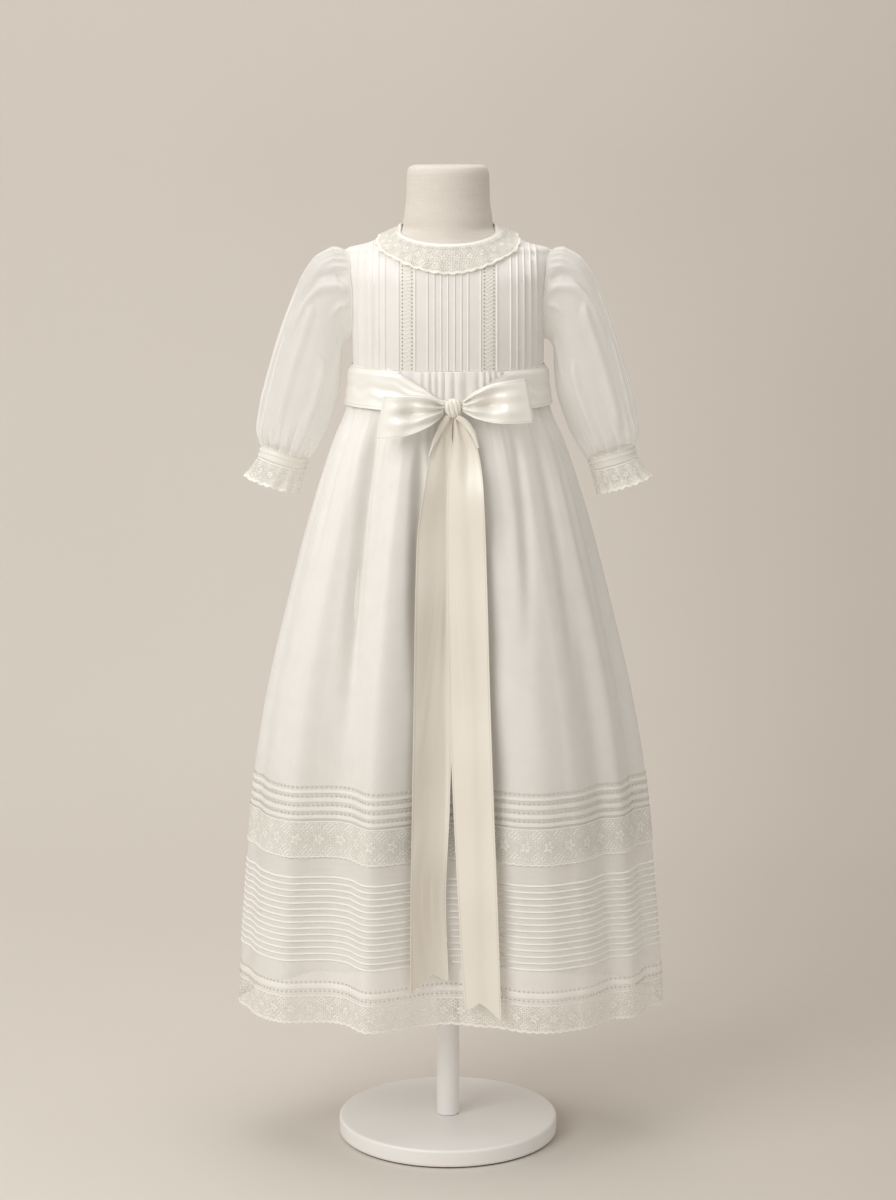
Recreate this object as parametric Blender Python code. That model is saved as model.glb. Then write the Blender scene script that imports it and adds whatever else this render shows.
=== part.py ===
"""A christening gown on a limbless dress form.

Metres, +Z up. The gown's front faces -Y, and the origin is the middle of the stand's underside. A turn is an
angle round the upright axis, from the front towards +X. Every cloth piece is a closed wall, made from a surface
that is a function of two named measures and moved out along its own normal.
"""

import math

import bmesh
import bpy
from mathutils import Vector

# Driving sizes
SEAM_GAP = 0.0003
FORM_CLEARANCE = 0.0007
FORM_INSET = 0.0026
BODICE_WALL = 0.0012
SKIRT_WALL = 0.0012
LACE_WALL = 0.0010
SATIN_WALL = 0.0010

# Stand
PAD_RADIUS = 0.1050
PAD_THICKNESS = 0.0012
BASE_RADIUS = 0.1075
BASE_TOP = 0.0180
BASE_EDGE_RADIUS = 0.0022
POLE_RADIUS = 0.0110

# Heights of the gown's parts above the floor
FORM_BOTTOM = 0.640
FORM_TOP = 0.948
WAIST = 0.7600
TUCK_BAND_TOP = 0.3675
LACE_TOP = 0.3345
LACE_BOTTOM = 0.2995
PINTUCK_TOP = 0.2795
HEM_LACE_TOP = 0.1625
HEM = 0.1345
LINING_HEM = 0.3010

# Dress form: real sections of the torso and neck, without the gown
TORSO_SECTIONS = (
    {"z": 0.640, "half_width": 0.0700, "front": 0.0500, "back": 0.0460, "power": 2.2},
    {"z": 0.655, "half_width": 0.0790, "front": 0.0560, "back": 0.0520, "power": 2.2},
    {"z": 0.700, "half_width": 0.0870, "front": 0.0615, "back": 0.0565, "power": 2.3},
    {"z": 0.760, "half_width": 0.0885, "front": 0.0635, "back": 0.0575, "power": 2.4},
    {"z": 0.800, "half_width": 0.0890, "front": 0.0640, "back": 0.0585, "power": 2.6},
    {"z": 0.840, "half_width": 0.0915, "front": 0.0600, "back": 0.0560, "power": 2.5},
    {"z": 0.857, "half_width": 0.0940, "front": 0.0550, "back": 0.0520, "power": 2.0},
    {"z": 0.868, "half_width": 0.0950, "front": 0.0495, "back": 0.0470, "power": 1.6},
    {"z": 0.8745, "half_width": 0.0730, "front": 0.0455, "back": 0.0440, "power": 1.6},
    {"z": 0.882, "half_width": 0.0575, "front": 0.0415, "back": 0.0410, "power": 1.7},
    {"z": 0.8905, "half_width": 0.0430, "front": 0.0395, "back": 0.0390, "power": 1.9},
    {"z": 0.900, "half_width": 0.0420, "front": 0.0385, "back": 0.0385, "power": 2.0},
    {"z": 0.915, "half_width": 0.0400, "front": 0.0370, "back": 0.0370, "power": 2.0},
    {"z": 0.940, "half_width": 0.0390, "front": 0.0360, "back": 0.0360, "power": 2.0},
    {"z": 0.946, "half_width": 0.0370, "front": 0.0340, "back": 0.0340, "power": 2.0},
    {"z": 0.948, "half_width": 0.0330, "front": 0.0305, "back": 0.0305, "power": 2.0},
)

# Neckline and armholes, on the torso
NECKLINE_FRONT = 0.8725
NECKLINE_SIDE = 0.8890
NECKLINE_BACK = 0.8915
NECK_SEAM = 0.0022
ARMHOLE_MIDDLE = 0.8275
ARMHOLE_HALF_HEIGHT = 0.0405
ARMHOLE_HALF_DEPTH = 0.0240
ARMHOLE_LAP = 0.0012
ARMHOLE_OFF = 0.0012
ARMHOLE_STRAIGHT_TOP = 0.855
BODICE_STRAIGHT = 0.0845

# Bodice front: tucks by their distance from the centre line
TUCK_HEIGHT = 0.0011
TUCK_HALF_WIDTH = 0.0009
CENTRE_TUCKS = (0.0, 0.0062, 0.0124, 0.0186)
INSERTION_TUCKS = (0.0300, 0.0450)
SIDE_TUCKS = (0.0575, 0.0635, 0.0695, 0.0755, 0.0810)

# Collar and neckband
COLLAR_DROP = 0.027
COLLAR_START = 0.0034
COLLAR_WAVES = 26
COLLAR_WAVE_HEIGHT = 0.0022
BAND_HEIGHT = 0.0042
BAND_OUT = 0.0040

# Skirt: sections of its outer cloth between the folds, and how far folds and gathers have grown there
SKIRT_SECTIONS = (
    {"z": 0.1300, "half_width": 0.2030, "front": 0.0915, "back": 0.0960, "fold": 1.00, "gather": 0.0, "lining": 0.0100},
    {"z": 0.1750, "half_width": 0.2005, "front": 0.0925, "back": 0.0965, "fold": 1.00, "gather": 0.0, "lining": 0.0100},
    {"z": 0.2660, "half_width": 0.1935, "front": 0.0935, "back": 0.0960, "fold": 0.98, "gather": 0.0, "lining": 0.0095},
    {"z": 0.3560, "half_width": 0.1855, "front": 0.0910, "back": 0.0930, "fold": 0.95, "gather": 0.0, "lining": 0.0090},
    {"z": 0.4360, "half_width": 0.1735, "front": 0.0885, "back": 0.0890, "fold": 0.90, "gather": 0.0, "lining": 0.0085},
    {"z": 0.5340, "half_width": 0.1520, "front": 0.0850, "back": 0.0840, "fold": 0.80, "gather": 0.0, "lining": 0.0075},
    {"z": 0.6310, "half_width": 0.1270, "front": 0.0805, "back": 0.0775, "fold": 0.60, "gather": 0.10, "lining": 0.0060},
    {"z": 0.6900, "half_width": 0.1080, "front": 0.0755, "back": 0.0705, "fold": 0.36, "gather": 0.45, "lining": 0.0042},
    {"z": 0.7220, "half_width": 0.0950, "front": 0.0695, "back": 0.0635, "fold": 0.12, "gather": 0.85, "lining": 0.0029},
    {"z": 0.7450, "half_width": 0.0918, "front": 0.0668, "back": 0.0608, "fold": 0.00, "gather": 1.00, "lining": 0.0026},
    {"z": 0.7600, "half_width": 0.0917, "front": 0.0667, "back": 0.0607, "fold": 0.00, "gather": 0.35, "lining": 0.0026},
)
SKIRT_POWER = 2.25
SKIRT_SWAY = 0.0030
GATHERS = 56
GATHER_HEIGHT = 0.0019

# Folds of the skirt: the turn of the crest, the turn each flank takes, and the height at the hem
FOLDS = (
    {"turn": -98, "rise": 10, "fall": 12, "height": 0.007},
    {"turn": -75, "rise": 9, "fall": 11, "height": 0.006},
    {"turn": -52, "rise": 12, "fall": 12, "height": 0.015},
    {"turn": -30, "rise": 8, "fall": 9, "height": -0.007},
    {"turn": -17, "rise": 9, "fall": 13, "height": 0.022},
    {"turn": -1, "rise": 10, "fall": 10, "height": -0.013},
    {"turn": 19, "rise": 11, "fall": 14, "height": 0.019},
    {"turn": 31, "rise": 14, "fall": 15, "height": 0.021},
    {"turn": 55, "rise": 9, "fall": 9, "height": 0.005},
    {"turn": 71, "rise": 9, "fall": 8, "height": -0.004},
    {"turn": 84, "rise": 8, "fall": 10, "height": 0.006},
    {"turn": 106, "rise": 11, "fall": 11, "height": 0.009},
    {"turn": 132, "rise": 14, "fall": 11, "height": 0.014},
    {"turn": 160, "rise": 12, "fall": 15, "height": 0.016},
    {"turn": 192, "rise": 15, "fall": 12, "height": 0.016},
    {"turn": 219, "rise": 11, "fall": 14, "height": 0.014},
    {"turn": 245, "rise": 11, "fall": 11, "height": 0.009},
)

# Horizontal tucks of the skirt
WIDE_TUCKS = 4
WIDE_TUCK_PITCH = (TUCK_BAND_TOP - LACE_TOP) / WIDE_TUCKS
WIDE_TUCK_HEIGHT = 0.0013
PINTUCKS = 14
PINTUCK_PITCH = 0.0063
PINTUCK_HEIGHT = 0.0010

# Sleeve: where its outer and inner contours lie beside the body, its half depth, and how much it is gathered
SLEEVE_WALL = 0.0012
SLEEVE_WAVES = 12
SLEEVE_WAVE_HEIGHT = 0.0018
SLEEVE_SECTIONS = (
    {"along": 1, "outer_x": 0.1085, "outer_z": 0.8705, "inner_x": 0.0965, "inner_z": 0.7830, "depth": 0.029, "gather": 0.9},
    {"along": 2, "outer_x": 0.1235, "outer_z": 0.8630, "inner_x": 0.1000, "inner_z": 0.7760, "depth": 0.032, "gather": 0.6},
    {"along": 3, "outer_x": 0.1355, "outer_z": 0.8460, "inner_x": 0.1015, "inner_z": 0.7680, "depth": 0.034, "gather": 0.3},
    {"along": 4, "outer_x": 0.1465, "outer_z": 0.8215, "inner_x": 0.1022, "inner_z": 0.7590, "depth": 0.035, "gather": 0.1},
    {"along": 5, "outer_x": 0.1590, "outer_z": 0.7880, "inner_x": 0.1035, "inner_z": 0.7430, "depth": 0.035, "gather": 0.1},
    {"along": 6, "outer_x": 0.1695, "outer_z": 0.7530, "inner_x": 0.1075, "inner_z": 0.7250, "depth": 0.034, "gather": 0.2},
    {"along": 7, "outer_x": 0.1775, "outer_z": 0.7215, "inner_x": 0.1150, "inner_z": 0.7055, "depth": 0.033, "gather": 0.4},
    {"along": 8, "outer_x": 0.1797, "outer_z": 0.7010, "inner_x": 0.1235, "inner_z": 0.6880, "depth": 0.030, "gather": 0.8},
    {"along": 9, "outer_x": 0.1772, "outer_z": 0.6865, "inner_x": 0.1325, "inner_z": 0.6730, "depth": 0.021, "gather": 0.6},
)
CUFF_SECTIONS = (
    {"along": 0, "outer_x": 0.1771, "outer_z": 0.6861, "inner_x": 0.1326, "inner_z": 0.6726, "depth": 0.0215, "gather": 0.0},
    {"along": 1, "outer_x": 0.1802, "outer_z": 0.6740, "inner_x": 0.1362, "inner_z": 0.6606, "depth": 0.0215, "gather": 0.0},
)
FRILL_SECTIONS = (
    {"along": 0, "outer_x": 0.1803, "outer_z": 0.6736, "inner_x": 0.1363, "inner_z": 0.6602, "depth": 0.0215, "gather": 0.3},
    {"along": 1, "outer_x": 0.1860, "outer_z": 0.6640, "inner_x": 0.1400, "inner_z": 0.6500, "depth": 0.0240, "gather": 0.8},
    {"along": 2, "outer_x": 0.1925, "outer_z": 0.6540, "inner_x": 0.1445, "inner_z": 0.6390, "depth": 0.0270, "gather": 1.2},
)

# Satin sash: its edges and how far it stands off the skirt, by the turn away from the knot
KNOT_TURN = 2.4
SASH_LEAN = 0.0010
SASH_SECTIONS = (
    {"away": 1.5, "top": 0.7330, "bottom": 0.7240, "off": 0.0087},
    {"away": 6, "top": 0.7350, "bottom": 0.7235, "off": 0.0068},
    {"away": 14, "top": 0.7450, "bottom": 0.7215, "off": 0.0050},
    {"away": 26, "top": 0.7560, "bottom": 0.7215, "off": 0.0035},
    {"away": 40, "top": 0.7625, "bottom": 0.7235, "off": 0.0034},
    {"away": 90, "top": 0.7625, "bottom": 0.7242, "off": 0.0034},
    {"away": 180, "top": 0.7635, "bottom": 0.7252, "off": 0.0034},
)
KNOT_CENTRE = Vector((0.0045, -0.0840, 0.7285))
KNOT_HALF = Vector((0.0088, 0.0062, 0.0092))

# Bow loops from the knot (0) to the fold at the far end (1)
LOOP_SECTIONS = (
    {"reach": 0.0, "half_height": 0.0046, "front": -0.0865, "back": -0.0825},
    {"reach": 0.2, "half_height": 0.0125, "front": -0.0945, "back": -0.0820},
    {"reach": 0.5, "half_height": 0.0180, "front": -0.0985, "back": -0.0835},
    {"reach": 0.8, "half_height": 0.0198, "front": -0.0950, "back": -0.0845},
    {"reach": 1.0, "half_height": 0.0202, "front": -0.0900, "back": -0.0855},
)
LOOPS = (
    {"name": "bow_loop_left", "near_x": -0.0044, "far_x": -0.0605, "near_z": 0.7275, "far_z": 0.7200},
    {"name": "bow_loop_right", "near_x": 0.0134, "far_x": 0.0735, "near_z": 0.7300, "far_z": 0.7365},
)

# Sash tails: their edges at each height, and the notch cut in their ends
TAIL_NOTCH = 0.0165
TAIL_MARGIN = 0.008
LEFT_TAIL = (
    {"z": 0.7197, "left": -0.0005, "right": 0.0040, "off": 0.0110},
    {"z": 0.7060, "left": -0.0115, "right": 0.0035, "off": 0.0065},
    {"z": 0.6900, "left": -0.0200, "right": 0.0045, "off": 0.0030},
    {"z": 0.6620, "left": -0.0250, "right": 0.0065, "off": 0.0020},
    {"z": 0.6000, "left": -0.0290, "right": 0.0060, "off": 0.0016},
    {"z": 0.4550, "left": -0.0318, "right": 0.0045, "off": 0.0016},
    {"z": 0.3500, "left": -0.0335, "right": 0.0015, "off": 0.0048},
    {"z": 0.2610, "left": -0.0351, "right": -0.0019, "off": 0.0048},
    {"z": 0.1720, "left": -0.0355, "right": 0.0005, "off": 0.0048},
)
RIGHT_TAIL = (
    {"z": 0.7197, "left": 0.0052, "right": 0.0110, "off": 0.0130},
    {"z": 0.7060, "left": 0.0050, "right": 0.0190, "off": 0.0095},
    {"z": 0.6900, "left": 0.0037, "right": 0.0277, "off": 0.0062},
    {"z": 0.6620, "left": -0.0005, "right": 0.0320, "off": 0.0046},
    {"z": 0.6000, "left": -0.0015, "right": 0.0350, "off": 0.0040},
    {"z": 0.4550, "left": 0.0009, "right": 0.0393, "off": 0.0040},
    {"z": 0.3500, "left": 0.0050, "right": 0.0430, "off": 0.0070},
    {"z": 0.2610, "left": 0.0095, "right": 0.0465, "off": 0.0070},
    {"z": 0.1460, "left": 0.0162, "right": 0.0506, "off": 0.0070},
)

# Back fastening
BUTTON_RADIUS = 0.0045
BUTTON_THICKNESS = 0.0020
BUTTON_HEIGHTS = (0.775, 0.803, 0.831, 0.859)
PLACKET_EDGE = 0.0070

FINISHES = {
    "organza": {"colour": (0.87, 0.84, 0.78), "roughness": 0.75},
    "lining": {"colour": (0.88, 0.85, 0.80), "roughness": 0.85},
    "lace": {"colour": (0.86, 0.82, 0.74), "roughness": 0.80},
    "satin": {"colour": (0.87, 0.83, 0.72), "roughness": 0.32},
    "form_linen": {"colour": (0.80, 0.73, 0.65), "roughness": 0.90},
    "stand_paint": {"colour": (0.82, 0.81, 0.79), "roughness": 0.40},
    "foot_rubber": {"colour": (0.05, 0.05, 0.05), "roughness": 0.80},
    "pearl": {"colour": (0.90, 0.88, 0.83), "roughness": 0.25},
}


# Helpers


def clear_scene():
    for thing in list(bpy.data.objects):
        bpy.data.objects.remove(thing, do_unlink=True)


def finish(name):
    """The named finish as a material."""
    found = bpy.data.materials.get(name)
    if found:
        return found
    made = bpy.data.materials.new(name)
    made.use_nodes = True
    shader = made.node_tree.nodes["Principled BSDF"]
    shader.inputs["Base Color"].default_value = (*FINISHES[name]["colour"], 1.0)
    shader.inputs["Roughness"].default_value = FINISHES[name]["roughness"]
    shader.inputs["Metallic"].default_value = 0.0
    return made


def along(rows, key, column, at):
    """One column of a table at a place between its rows, on a smooth curve that never passes its rows."""
    ordered = sorted(rows, key=lambda row: row[key])
    places = [row[key] for row in ordered]
    values = [row[column] for row in ordered]
    if at <= places[0]:
        return values[0]
    if at >= places[-1]:
        return values[-1]
    spans = [b - a for a, b in zip(places, places[1:])]
    slopes = [(b - a) / span for a, b, span in zip(values, values[1:], spans)]
    tangents = [slopes[0]]
    for before, after in zip(slopes, slopes[1:]):
        tangents.append(0.0 if before * after <= 0 else 2 * before * after / (before + after))
    tangents.append(slopes[-1])
    i = max(k for k in range(len(spans)) if places[k] <= at)
    t = (at - places[i]) / spans[i]
    rise = values[i + 1] - values[i]
    ease = t * t * (3 - 2 * t)
    start = t * (1 - t) ** 2 * tangents[i] * spans[i]
    end = t * t * (t - 1) * tangents[i + 1] * spans[i]
    return values[i] + rise * ease + start + end


def ring_point(half_width, half_depth, power, turn):
    """A point of a rounded ring, by its turn from the front in degrees."""
    sine, cosine = math.sin(math.radians(turn)), math.cos(math.radians(turn))
    x = half_width * math.copysign(abs(sine) ** (2 / power), sine)
    y = -half_depth * math.copysign(abs(cosine) ** (2 / power), cosine)
    return x, y


def lifted(surface, u, v, height, steps, middle):
    """A point of a surface moved out along its normal, away from the middle point that is given for it."""
    here = surface(u, v)
    across = surface(u + steps[0], v) - surface(u - steps[0], v)
    down = surface(u, v + steps[1]) - surface(u, v - steps[1])
    normal = across.cross(down).normalized()
    if normal.dot(here - middle(here)) < 0:
        normal.negate()
    return here + normal * height


def axis_point(here):
    """The point of the upright axis beside a point."""
    return Vector((0.0, 0.0, here.z))


def new_object(name, bm, finish_name):
    """Closes a bmesh into an object of the scene."""
    bmesh.ops.recalc_face_normals(bm, faces=bm.faces)
    if bm.calc_volume(signed=True) < 0:
        bmesh.ops.reverse_faces(bm, faces=bm.faces)
    bmesh.ops.triangulate(bm, faces=bm.faces)
    mesh = bpy.data.meshes.new(name)
    bm.to_mesh(mesh)
    bm.free()
    mesh.shade_smooth()
    mesh.set_sharp_from_angle(angle=math.radians(40))
    thing = bpy.data.objects.new(name, mesh)
    mesh.materials.append(finish(finish_name))
    bpy.context.scene.collection.objects.link(thing)
    return thing


def join_strip(bm, above, below, closed=False):
    """Faces between two rows of points. Where one row has all the columns of the other, each face spans two of
    those; other rows are joined from column to nearest column."""
    top, low = list(above), list(below)
    if closed:
        for i in range(len(top)):
            j = (i + 1) % len(top)
            bm.faces.new((above[top[i]], above[top[j]], below[low[j]], below[low[i]]))
        return
    posts = [column for column in top if column in below]
    if len(posts) == min(len(top), len(low)):
        for first, last in zip(posts, posts[1:]):
            upper = [above[c] for c in top if first <= c <= last]
            lower = [below[c] for c in low if first <= c <= last]
            bm.faces.new(upper + lower[::-1])
        return
    i = j = 0
    while i < len(top) - 1 or j < len(low) - 1:
        if j == len(low) - 1 or (i < len(top) - 1 and top[i + 1] + top[i] <= low[j + 1] + low[j]):
            bm.faces.new((above[top[i]], above[top[i + 1]], below[low[j]]))
            i += 1
        else:
            bm.faces.new((above[top[i]], below[low[j + 1]], below[low[j]]))
            j += 1


def cloth_wall(name, outer, inner, finish_name, closed=False):
    """A closed wall from two sheets. A sheet is {row: {column: point}}; the inner one may leave out rows and
    columns that the outer one has, apart from its edges."""
    bm = bmesh.new()
    sheets = [
        {row: {column: bm.verts.new(point) for column, point in points.items()} for row, points in sheet.items()}
        for sheet in (outer, inner)
    ]
    for sheet in sheets:
        rows = list(sheet)
        for above, below in zip(rows, rows[1:]):
            join_strip(bm, sheet[above], sheet[below], closed)
    out, back = sheets
    for edge in (0, -1):
        join_strip(bm, out[list(out)[edge]], back[list(back)[edge]], closed)
    if not closed:
        for edge in (0, -1):
            side_out = {row: points[list(points)[edge]] for row, points in out.items()}
            side_back = {row: points[list(points)[edge]] for row, points in back.items()}
            join_strip(bm, side_out, side_back)
    return new_object(name, bm, finish_name)


def turned(name, profile, segments, finish_name):
    """A solid of revolution from (radius, height) points, closed at both ends."""
    bm = bmesh.new()
    rings = []
    for radius, height in profile:
        angles = [2 * math.pi * i / segments for i in range(segments)]
        rings.append([bm.verts.new((radius * math.cos(a), radius * math.sin(a), height)) for a in angles])
    for low, high in zip(rings, rings[1:]):
        for i in range(segments):
            j = (i + 1) % segments
            bm.faces.new((low[i], low[j], high[j], high[i]))
    bm.faces.new(rings[0][::-1])
    bm.faces.new(rings[-1])
    return new_object(name, bm, finish_name)


# Stand and dress form


def build_stand():
    turned("stand_foot_pad", [(PAD_RADIUS, 0.0), (PAD_RADIUS, PAD_THICKNESS)], 44, "foot_rubber")
    low, high, edge = PAD_THICKNESS + SEAM_GAP, BASE_TOP, BASE_EDGE_RADIUS
    profile = [(BASE_RADIUS - edge / 2, low), (BASE_RADIUS, low + edge / 2)]
    for step in range(3):
        angle = math.radians(45 * step)
        profile.append((BASE_RADIUS - edge + edge * math.cos(angle), high - edge + edge * math.sin(angle)))
    turned("stand_base", profile, 44, "stand_paint")
    pole = [(POLE_RADIUS, BASE_TOP + SEAM_GAP), (POLE_RADIUS, FORM_BOTTOM - SEAM_GAP)]
    turned("stand_pole", pole, 24, "stand_paint")


def torso_value(column, z):
    return along(TORSO_SECTIONS, "z", column, z)


def torso_ring(turn, z):
    """A point of the bare form, by turn and height."""
    depth = torso_value("front" if math.cos(math.radians(turn)) >= 0 else "back", z)
    x, y = ring_point(torso_value("half_width", z), depth, torso_value("power", z), turn)
    return Vector((x, y, z))


def build_form():
    heights = (0.640, 0.655, 0.700, 0.760, 0.800, 0.830, 0.850, 0.861, 0.868)
    heights += (0.8712, 0.8745, 0.878, 0.882, 0.886, 0.8905, 0.902, 0.920, 0.944, 0.948)
    segments = 32
    bm = bmesh.new()
    rings = []
    for z in heights:
        inset = FORM_INSET * min(1.0, max(0.0, (0.902 - z) / 0.018))
        points = [torso_ring(360 * i / segments + 0.001, z) for i in range(segments)]
        rings.append([bm.verts.new(off_torso(p, -inset)) for p in points])
    for low, high in zip(rings, rings[1:]):
        for i in range(segments):
            j = (i + 1) % segments
            bm.faces.new((low[i], low[j], high[j], high[i]))
    for ring in (rings[0], rings[-1]):
        for vertex in ring:
            vertex.co.z = FORM_BOTTOM if ring is rings[0] else FORM_TOP
        bm.faces.new(ring)
    new_object("dress_form", bm, "form_linen")


# Bodice


def off_torso(point, height):
    """A point of the bare form moved out along the form's own normal."""
    side = "front" if point.y <= 0 else "back"

    def outside(x, y, z):
        power = torso_value("power", z)
        return (abs(x) / torso_value("half_width", z)) ** power + (abs(y) / torso_value(side, z)) ** power

    step = 0.0004
    x, y, z = point
    slope = Vector((
        outside(x + step, y, z) - outside(x - step, y, z),
        outside(x, y + step, z) - outside(x, y - step, z),
        outside(x, y, z + step) - outside(x, y, z - step),
    ))
    return point + slope.normalized() * height


def neckline_height(turn):
    """Height of the neckline on the form, by the turn round the neck."""
    cosine = math.cos(math.radians(turn))
    if cosine >= 0:
        share = (math.sin(math.radians(abs(turn)) / 2) / math.sin(math.radians(45))) ** 2.4
        return NECKLINE_FRONT + (NECKLINE_SIDE - NECKLINE_FRONT) * share
    return NECKLINE_SIDE + (NECKLINE_BACK - NECKLINE_SIDE) * -cosine


def torso_reach(turn, z):
    """How far the form reaches from the axis at a height, straight out in the direction of a turn."""
    sine, cosine = abs(math.sin(math.radians(turn))), math.cos(math.radians(turn))
    power = torso_value("power", z)
    depth = torso_value("front" if cosine >= 0 else "back", z)
    return ((sine / torso_value("half_width", z)) ** power + (abs(cosine) / depth) ** power) ** (-1 / power)


def solve(function, low, high):
    """Where a function that grows from low to high passes zero."""
    for _ in range(40):
        middle = (low + high) / 2
        if function(middle) < 0:
            low = middle
        else:
            high = middle
    return (low + high) / 2


def bodice_top(x, back):
    """Height of the bodice's upper edge over a distance from the centre line: neckline, then shoulder seam."""
    neck_half = torso_value("half_width", NECKLINE_SIDE - NECK_SEAM)
    if abs(x) >= neck_half:
        return solve(lambda z: abs(x) - torso_value("half_width", z), 0.868, NECKLINE_SIDE)

    def beyond(turn):
        real = 180 - turn if back else turn
        return torso_reach(real, neckline_height(real) - NECK_SEAM) * math.sin(math.radians(turn)) - abs(x)

    turn = solve(beyond, 0.0, 90.0)
    return neckline_height(180 - turn if back else turn) - NECK_SEAM


def torso_depth(x, z, back):
    """How far the form reaches forward or back over a point of its front view."""
    power = torso_value("power", z)
    inside = max(0.0, 1 - (abs(x) / torso_value("half_width", z)) ** power)
    return torso_value("back" if back else "front", z) * inside ** (1 / power)


def armhole_depth(z):
    """Half depth of the armhole at a height, or 0 below and above it."""
    share = (z - ARMHOLE_MIDDLE) / ARMHOLE_HALF_HEIGHT
    return ARMHOLE_HALF_DEPTH * math.sqrt(max(0.0, 1 - share * share))


def edge_column_x(share, z):
    """Distance from the centre line of a column between the straight cloth (0) and the side edge (1)."""
    power, width = torso_value("power", z), torso_value("half_width", z)
    depth = torso_value("front", z)
    straight = math.asin(min(1.0, (BODICE_STRAIGHT / width) ** (power / 2)))
    edge = math.acos(min(1.0, (armhole_depth(z) / depth) ** (power / 2)))
    return width * math.sin(straight + (edge - straight) * share) ** (2 / power)


def bodice_point(column, t, back):
    """A point of the bare form under a bodice column, from the waist (t 0) to the column's top (t 1).
    A column is its distance from the centre line, or more than BODICE_STRAIGHT by its share of the side cloth."""
    sign, away = math.copysign(1.0, column), abs(column)
    ease = 1 - (1 - t) ** 1.8
    low = WAIST + SEAM_GAP
    share = max(0.0, (away - BODICE_STRAIGHT) / (1 - BODICE_STRAIGHT))
    if share == 0:
        z = low + (bodice_top(away, back) - low) * ease
        x = away
        on_ridge = t == 1 and away >= torso_value("half_width", NECKLINE_SIDE - NECK_SEAM)
        y = 0.0 if on_ridge else torso_depth(x, z, back)
    else:
        top_x = BODICE_STRAIGHT + (0.0950 - BODICE_STRAIGHT) * share
        top_z = bodice_top(top_x, back)
        z = low + (top_z - low) * ease
        rise = min(1.0, max(0.0, (z - ARMHOLE_STRAIGHT_TOP) / (top_z - ARMHOLE_STRAIGHT_TOP)))
        below = edge_column_x(share, min(z, ARMHOLE_STRAIGHT_TOP))
        x = below + (top_x - below) * rise
        y = 0.0 if t == 1 else torso_depth(x, z, back)
    return Vector((sign * x, y if back else -y, z))


def bodice_panel(name, columns, rises, inner_columns, back):
    """A bodice panel. rises gives how far the cloth is raised at each column."""
    rows = 6
    outer, inner = {}, {}
    shift = Vector((0.0, SEAM_GAP / 2 if back else -SEAM_GAP / 2, 0.0))
    for r in range(rows + 1):
        points = [bodice_point(column, r / rows, back) for column in columns]
        wall = FORM_CLEARANCE + BODICE_WALL
        outer[r] = {c: off_torso(p, wall + rises[c]) + shift for c, p in enumerate(points)}
        inner[r] = {c: off_torso(points[c], FORM_CLEARANCE) + shift for c in inner_columns}
    cloth_wall(name, outer, inner, "organza")


def side_columns():
    """Columns of the cloth that turns round the side, out to the edge."""
    return [BODICE_STRAIGHT + (1 - BODICE_STRAIGHT) * share for share in (0.35, 0.7, 1.0)]


def build_bodice():
    tucks = sorted({*CENTRE_TUCKS, *INSERTION_TUCKS, *SIDE_TUCKS, *(-t for t in CENTRE_TUCKS[1:]),
                    *(-t for t in INSERTION_TUCKS + SIDE_TUCKS)})
    columns, rises = [], []
    for tuck in tucks:
        columns += [tuck - TUCK_HALF_WIDTH, tuck, tuck + TUCK_HALF_WIDTH]
        rises += [0.0, TUCK_HEIGHT, 0.0]
    edges = [BODICE_STRAIGHT, *side_columns()]
    columns = [-e for e in reversed(edges)] + columns + edges
    rises = [0.0] * len(edges) + rises + [0.0] * len(edges)
    flat = [c for c, rise in enumerate(rises) if rise == 0]
    inner_columns = sorted({0, len(columns) - 1, *flat[::2], *range(4), *range(len(columns) - 4, len(columns))})
    bodice_panel("bodice_front", columns, rises, inner_columns, False)

    half = [0.018, 0.031, 0.042, 0.052, 0.062, 0.073, *edges]
    right = [PLACKET_EDGE + SEAM_GAP, *half]
    left = [-c for c in reversed(half)] + [-PLACKET_EDGE, 0.0, PLACKET_EDGE]
    for name, panel in (("bodice_back_left", left), ("bodice_back_right", right)):
        bodice_panel(name, panel, [0.0] * len(panel), range(len(panel)), True)


def build_buttons():
    for number, z in enumerate(BUTTON_HEIGHTS, start=1):
        seat = off_torso(Vector((0.0, torso_depth(0.0, z, True), z)), FORM_CLEARANCE + BODICE_WALL)
        top = off_torso(Vector((0.0, torso_depth(0.0, z, True), z)), FORM_CLEARANCE + BODICE_WALL + 0.001)
        out = (top - seat).normalized()
        bm = bmesh.new()
        turn = Vector((0.0, 0.0, 1.0)).rotation_difference(out).to_matrix()
        rings = []
        for radius, height in ((0.0040, 0.0), (BUTTON_RADIUS, 0.0010), (0.0034, BUTTON_THICKNESS)):
            ring = [Vector((radius * math.cos(a), radius * math.sin(a), height + SEAM_GAP + 0.0001))
                    for a in (math.tau * i / 10 for i in range(10))]
            rings.append([bm.verts.new(seat + turn @ point + Vector((0, SEAM_GAP / 2, 0))) for point in ring])
        for low, high in zip(rings, rings[1:]):
            for i in range(10):
                j = (i + 1) % 10
                bm.faces.new((low[i], low[j], high[j], high[i]))
        bm.faces.new(rings[0])
        bm.faces.new(rings[-1])
        new_object(f"back_button_{number}", bm, "pearl")


# Collar and neckband


def collar_path(turn, length):
    """The point of the form that lies that far down from the neckline, straight out in the direction of a turn."""
    z, gone = neckline_height(turn), 0.0
    reach = torso_reach(turn, z)
    step = 0.00015
    while gone < length:
        lower = torso_reach(turn, z - step)
        gone += math.hypot(lower - reach, step)
        z, reach = z - step, lower
    angle = math.radians(turn)
    return Vector((reach * math.sin(angle), -reach * math.cos(angle), z))


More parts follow.
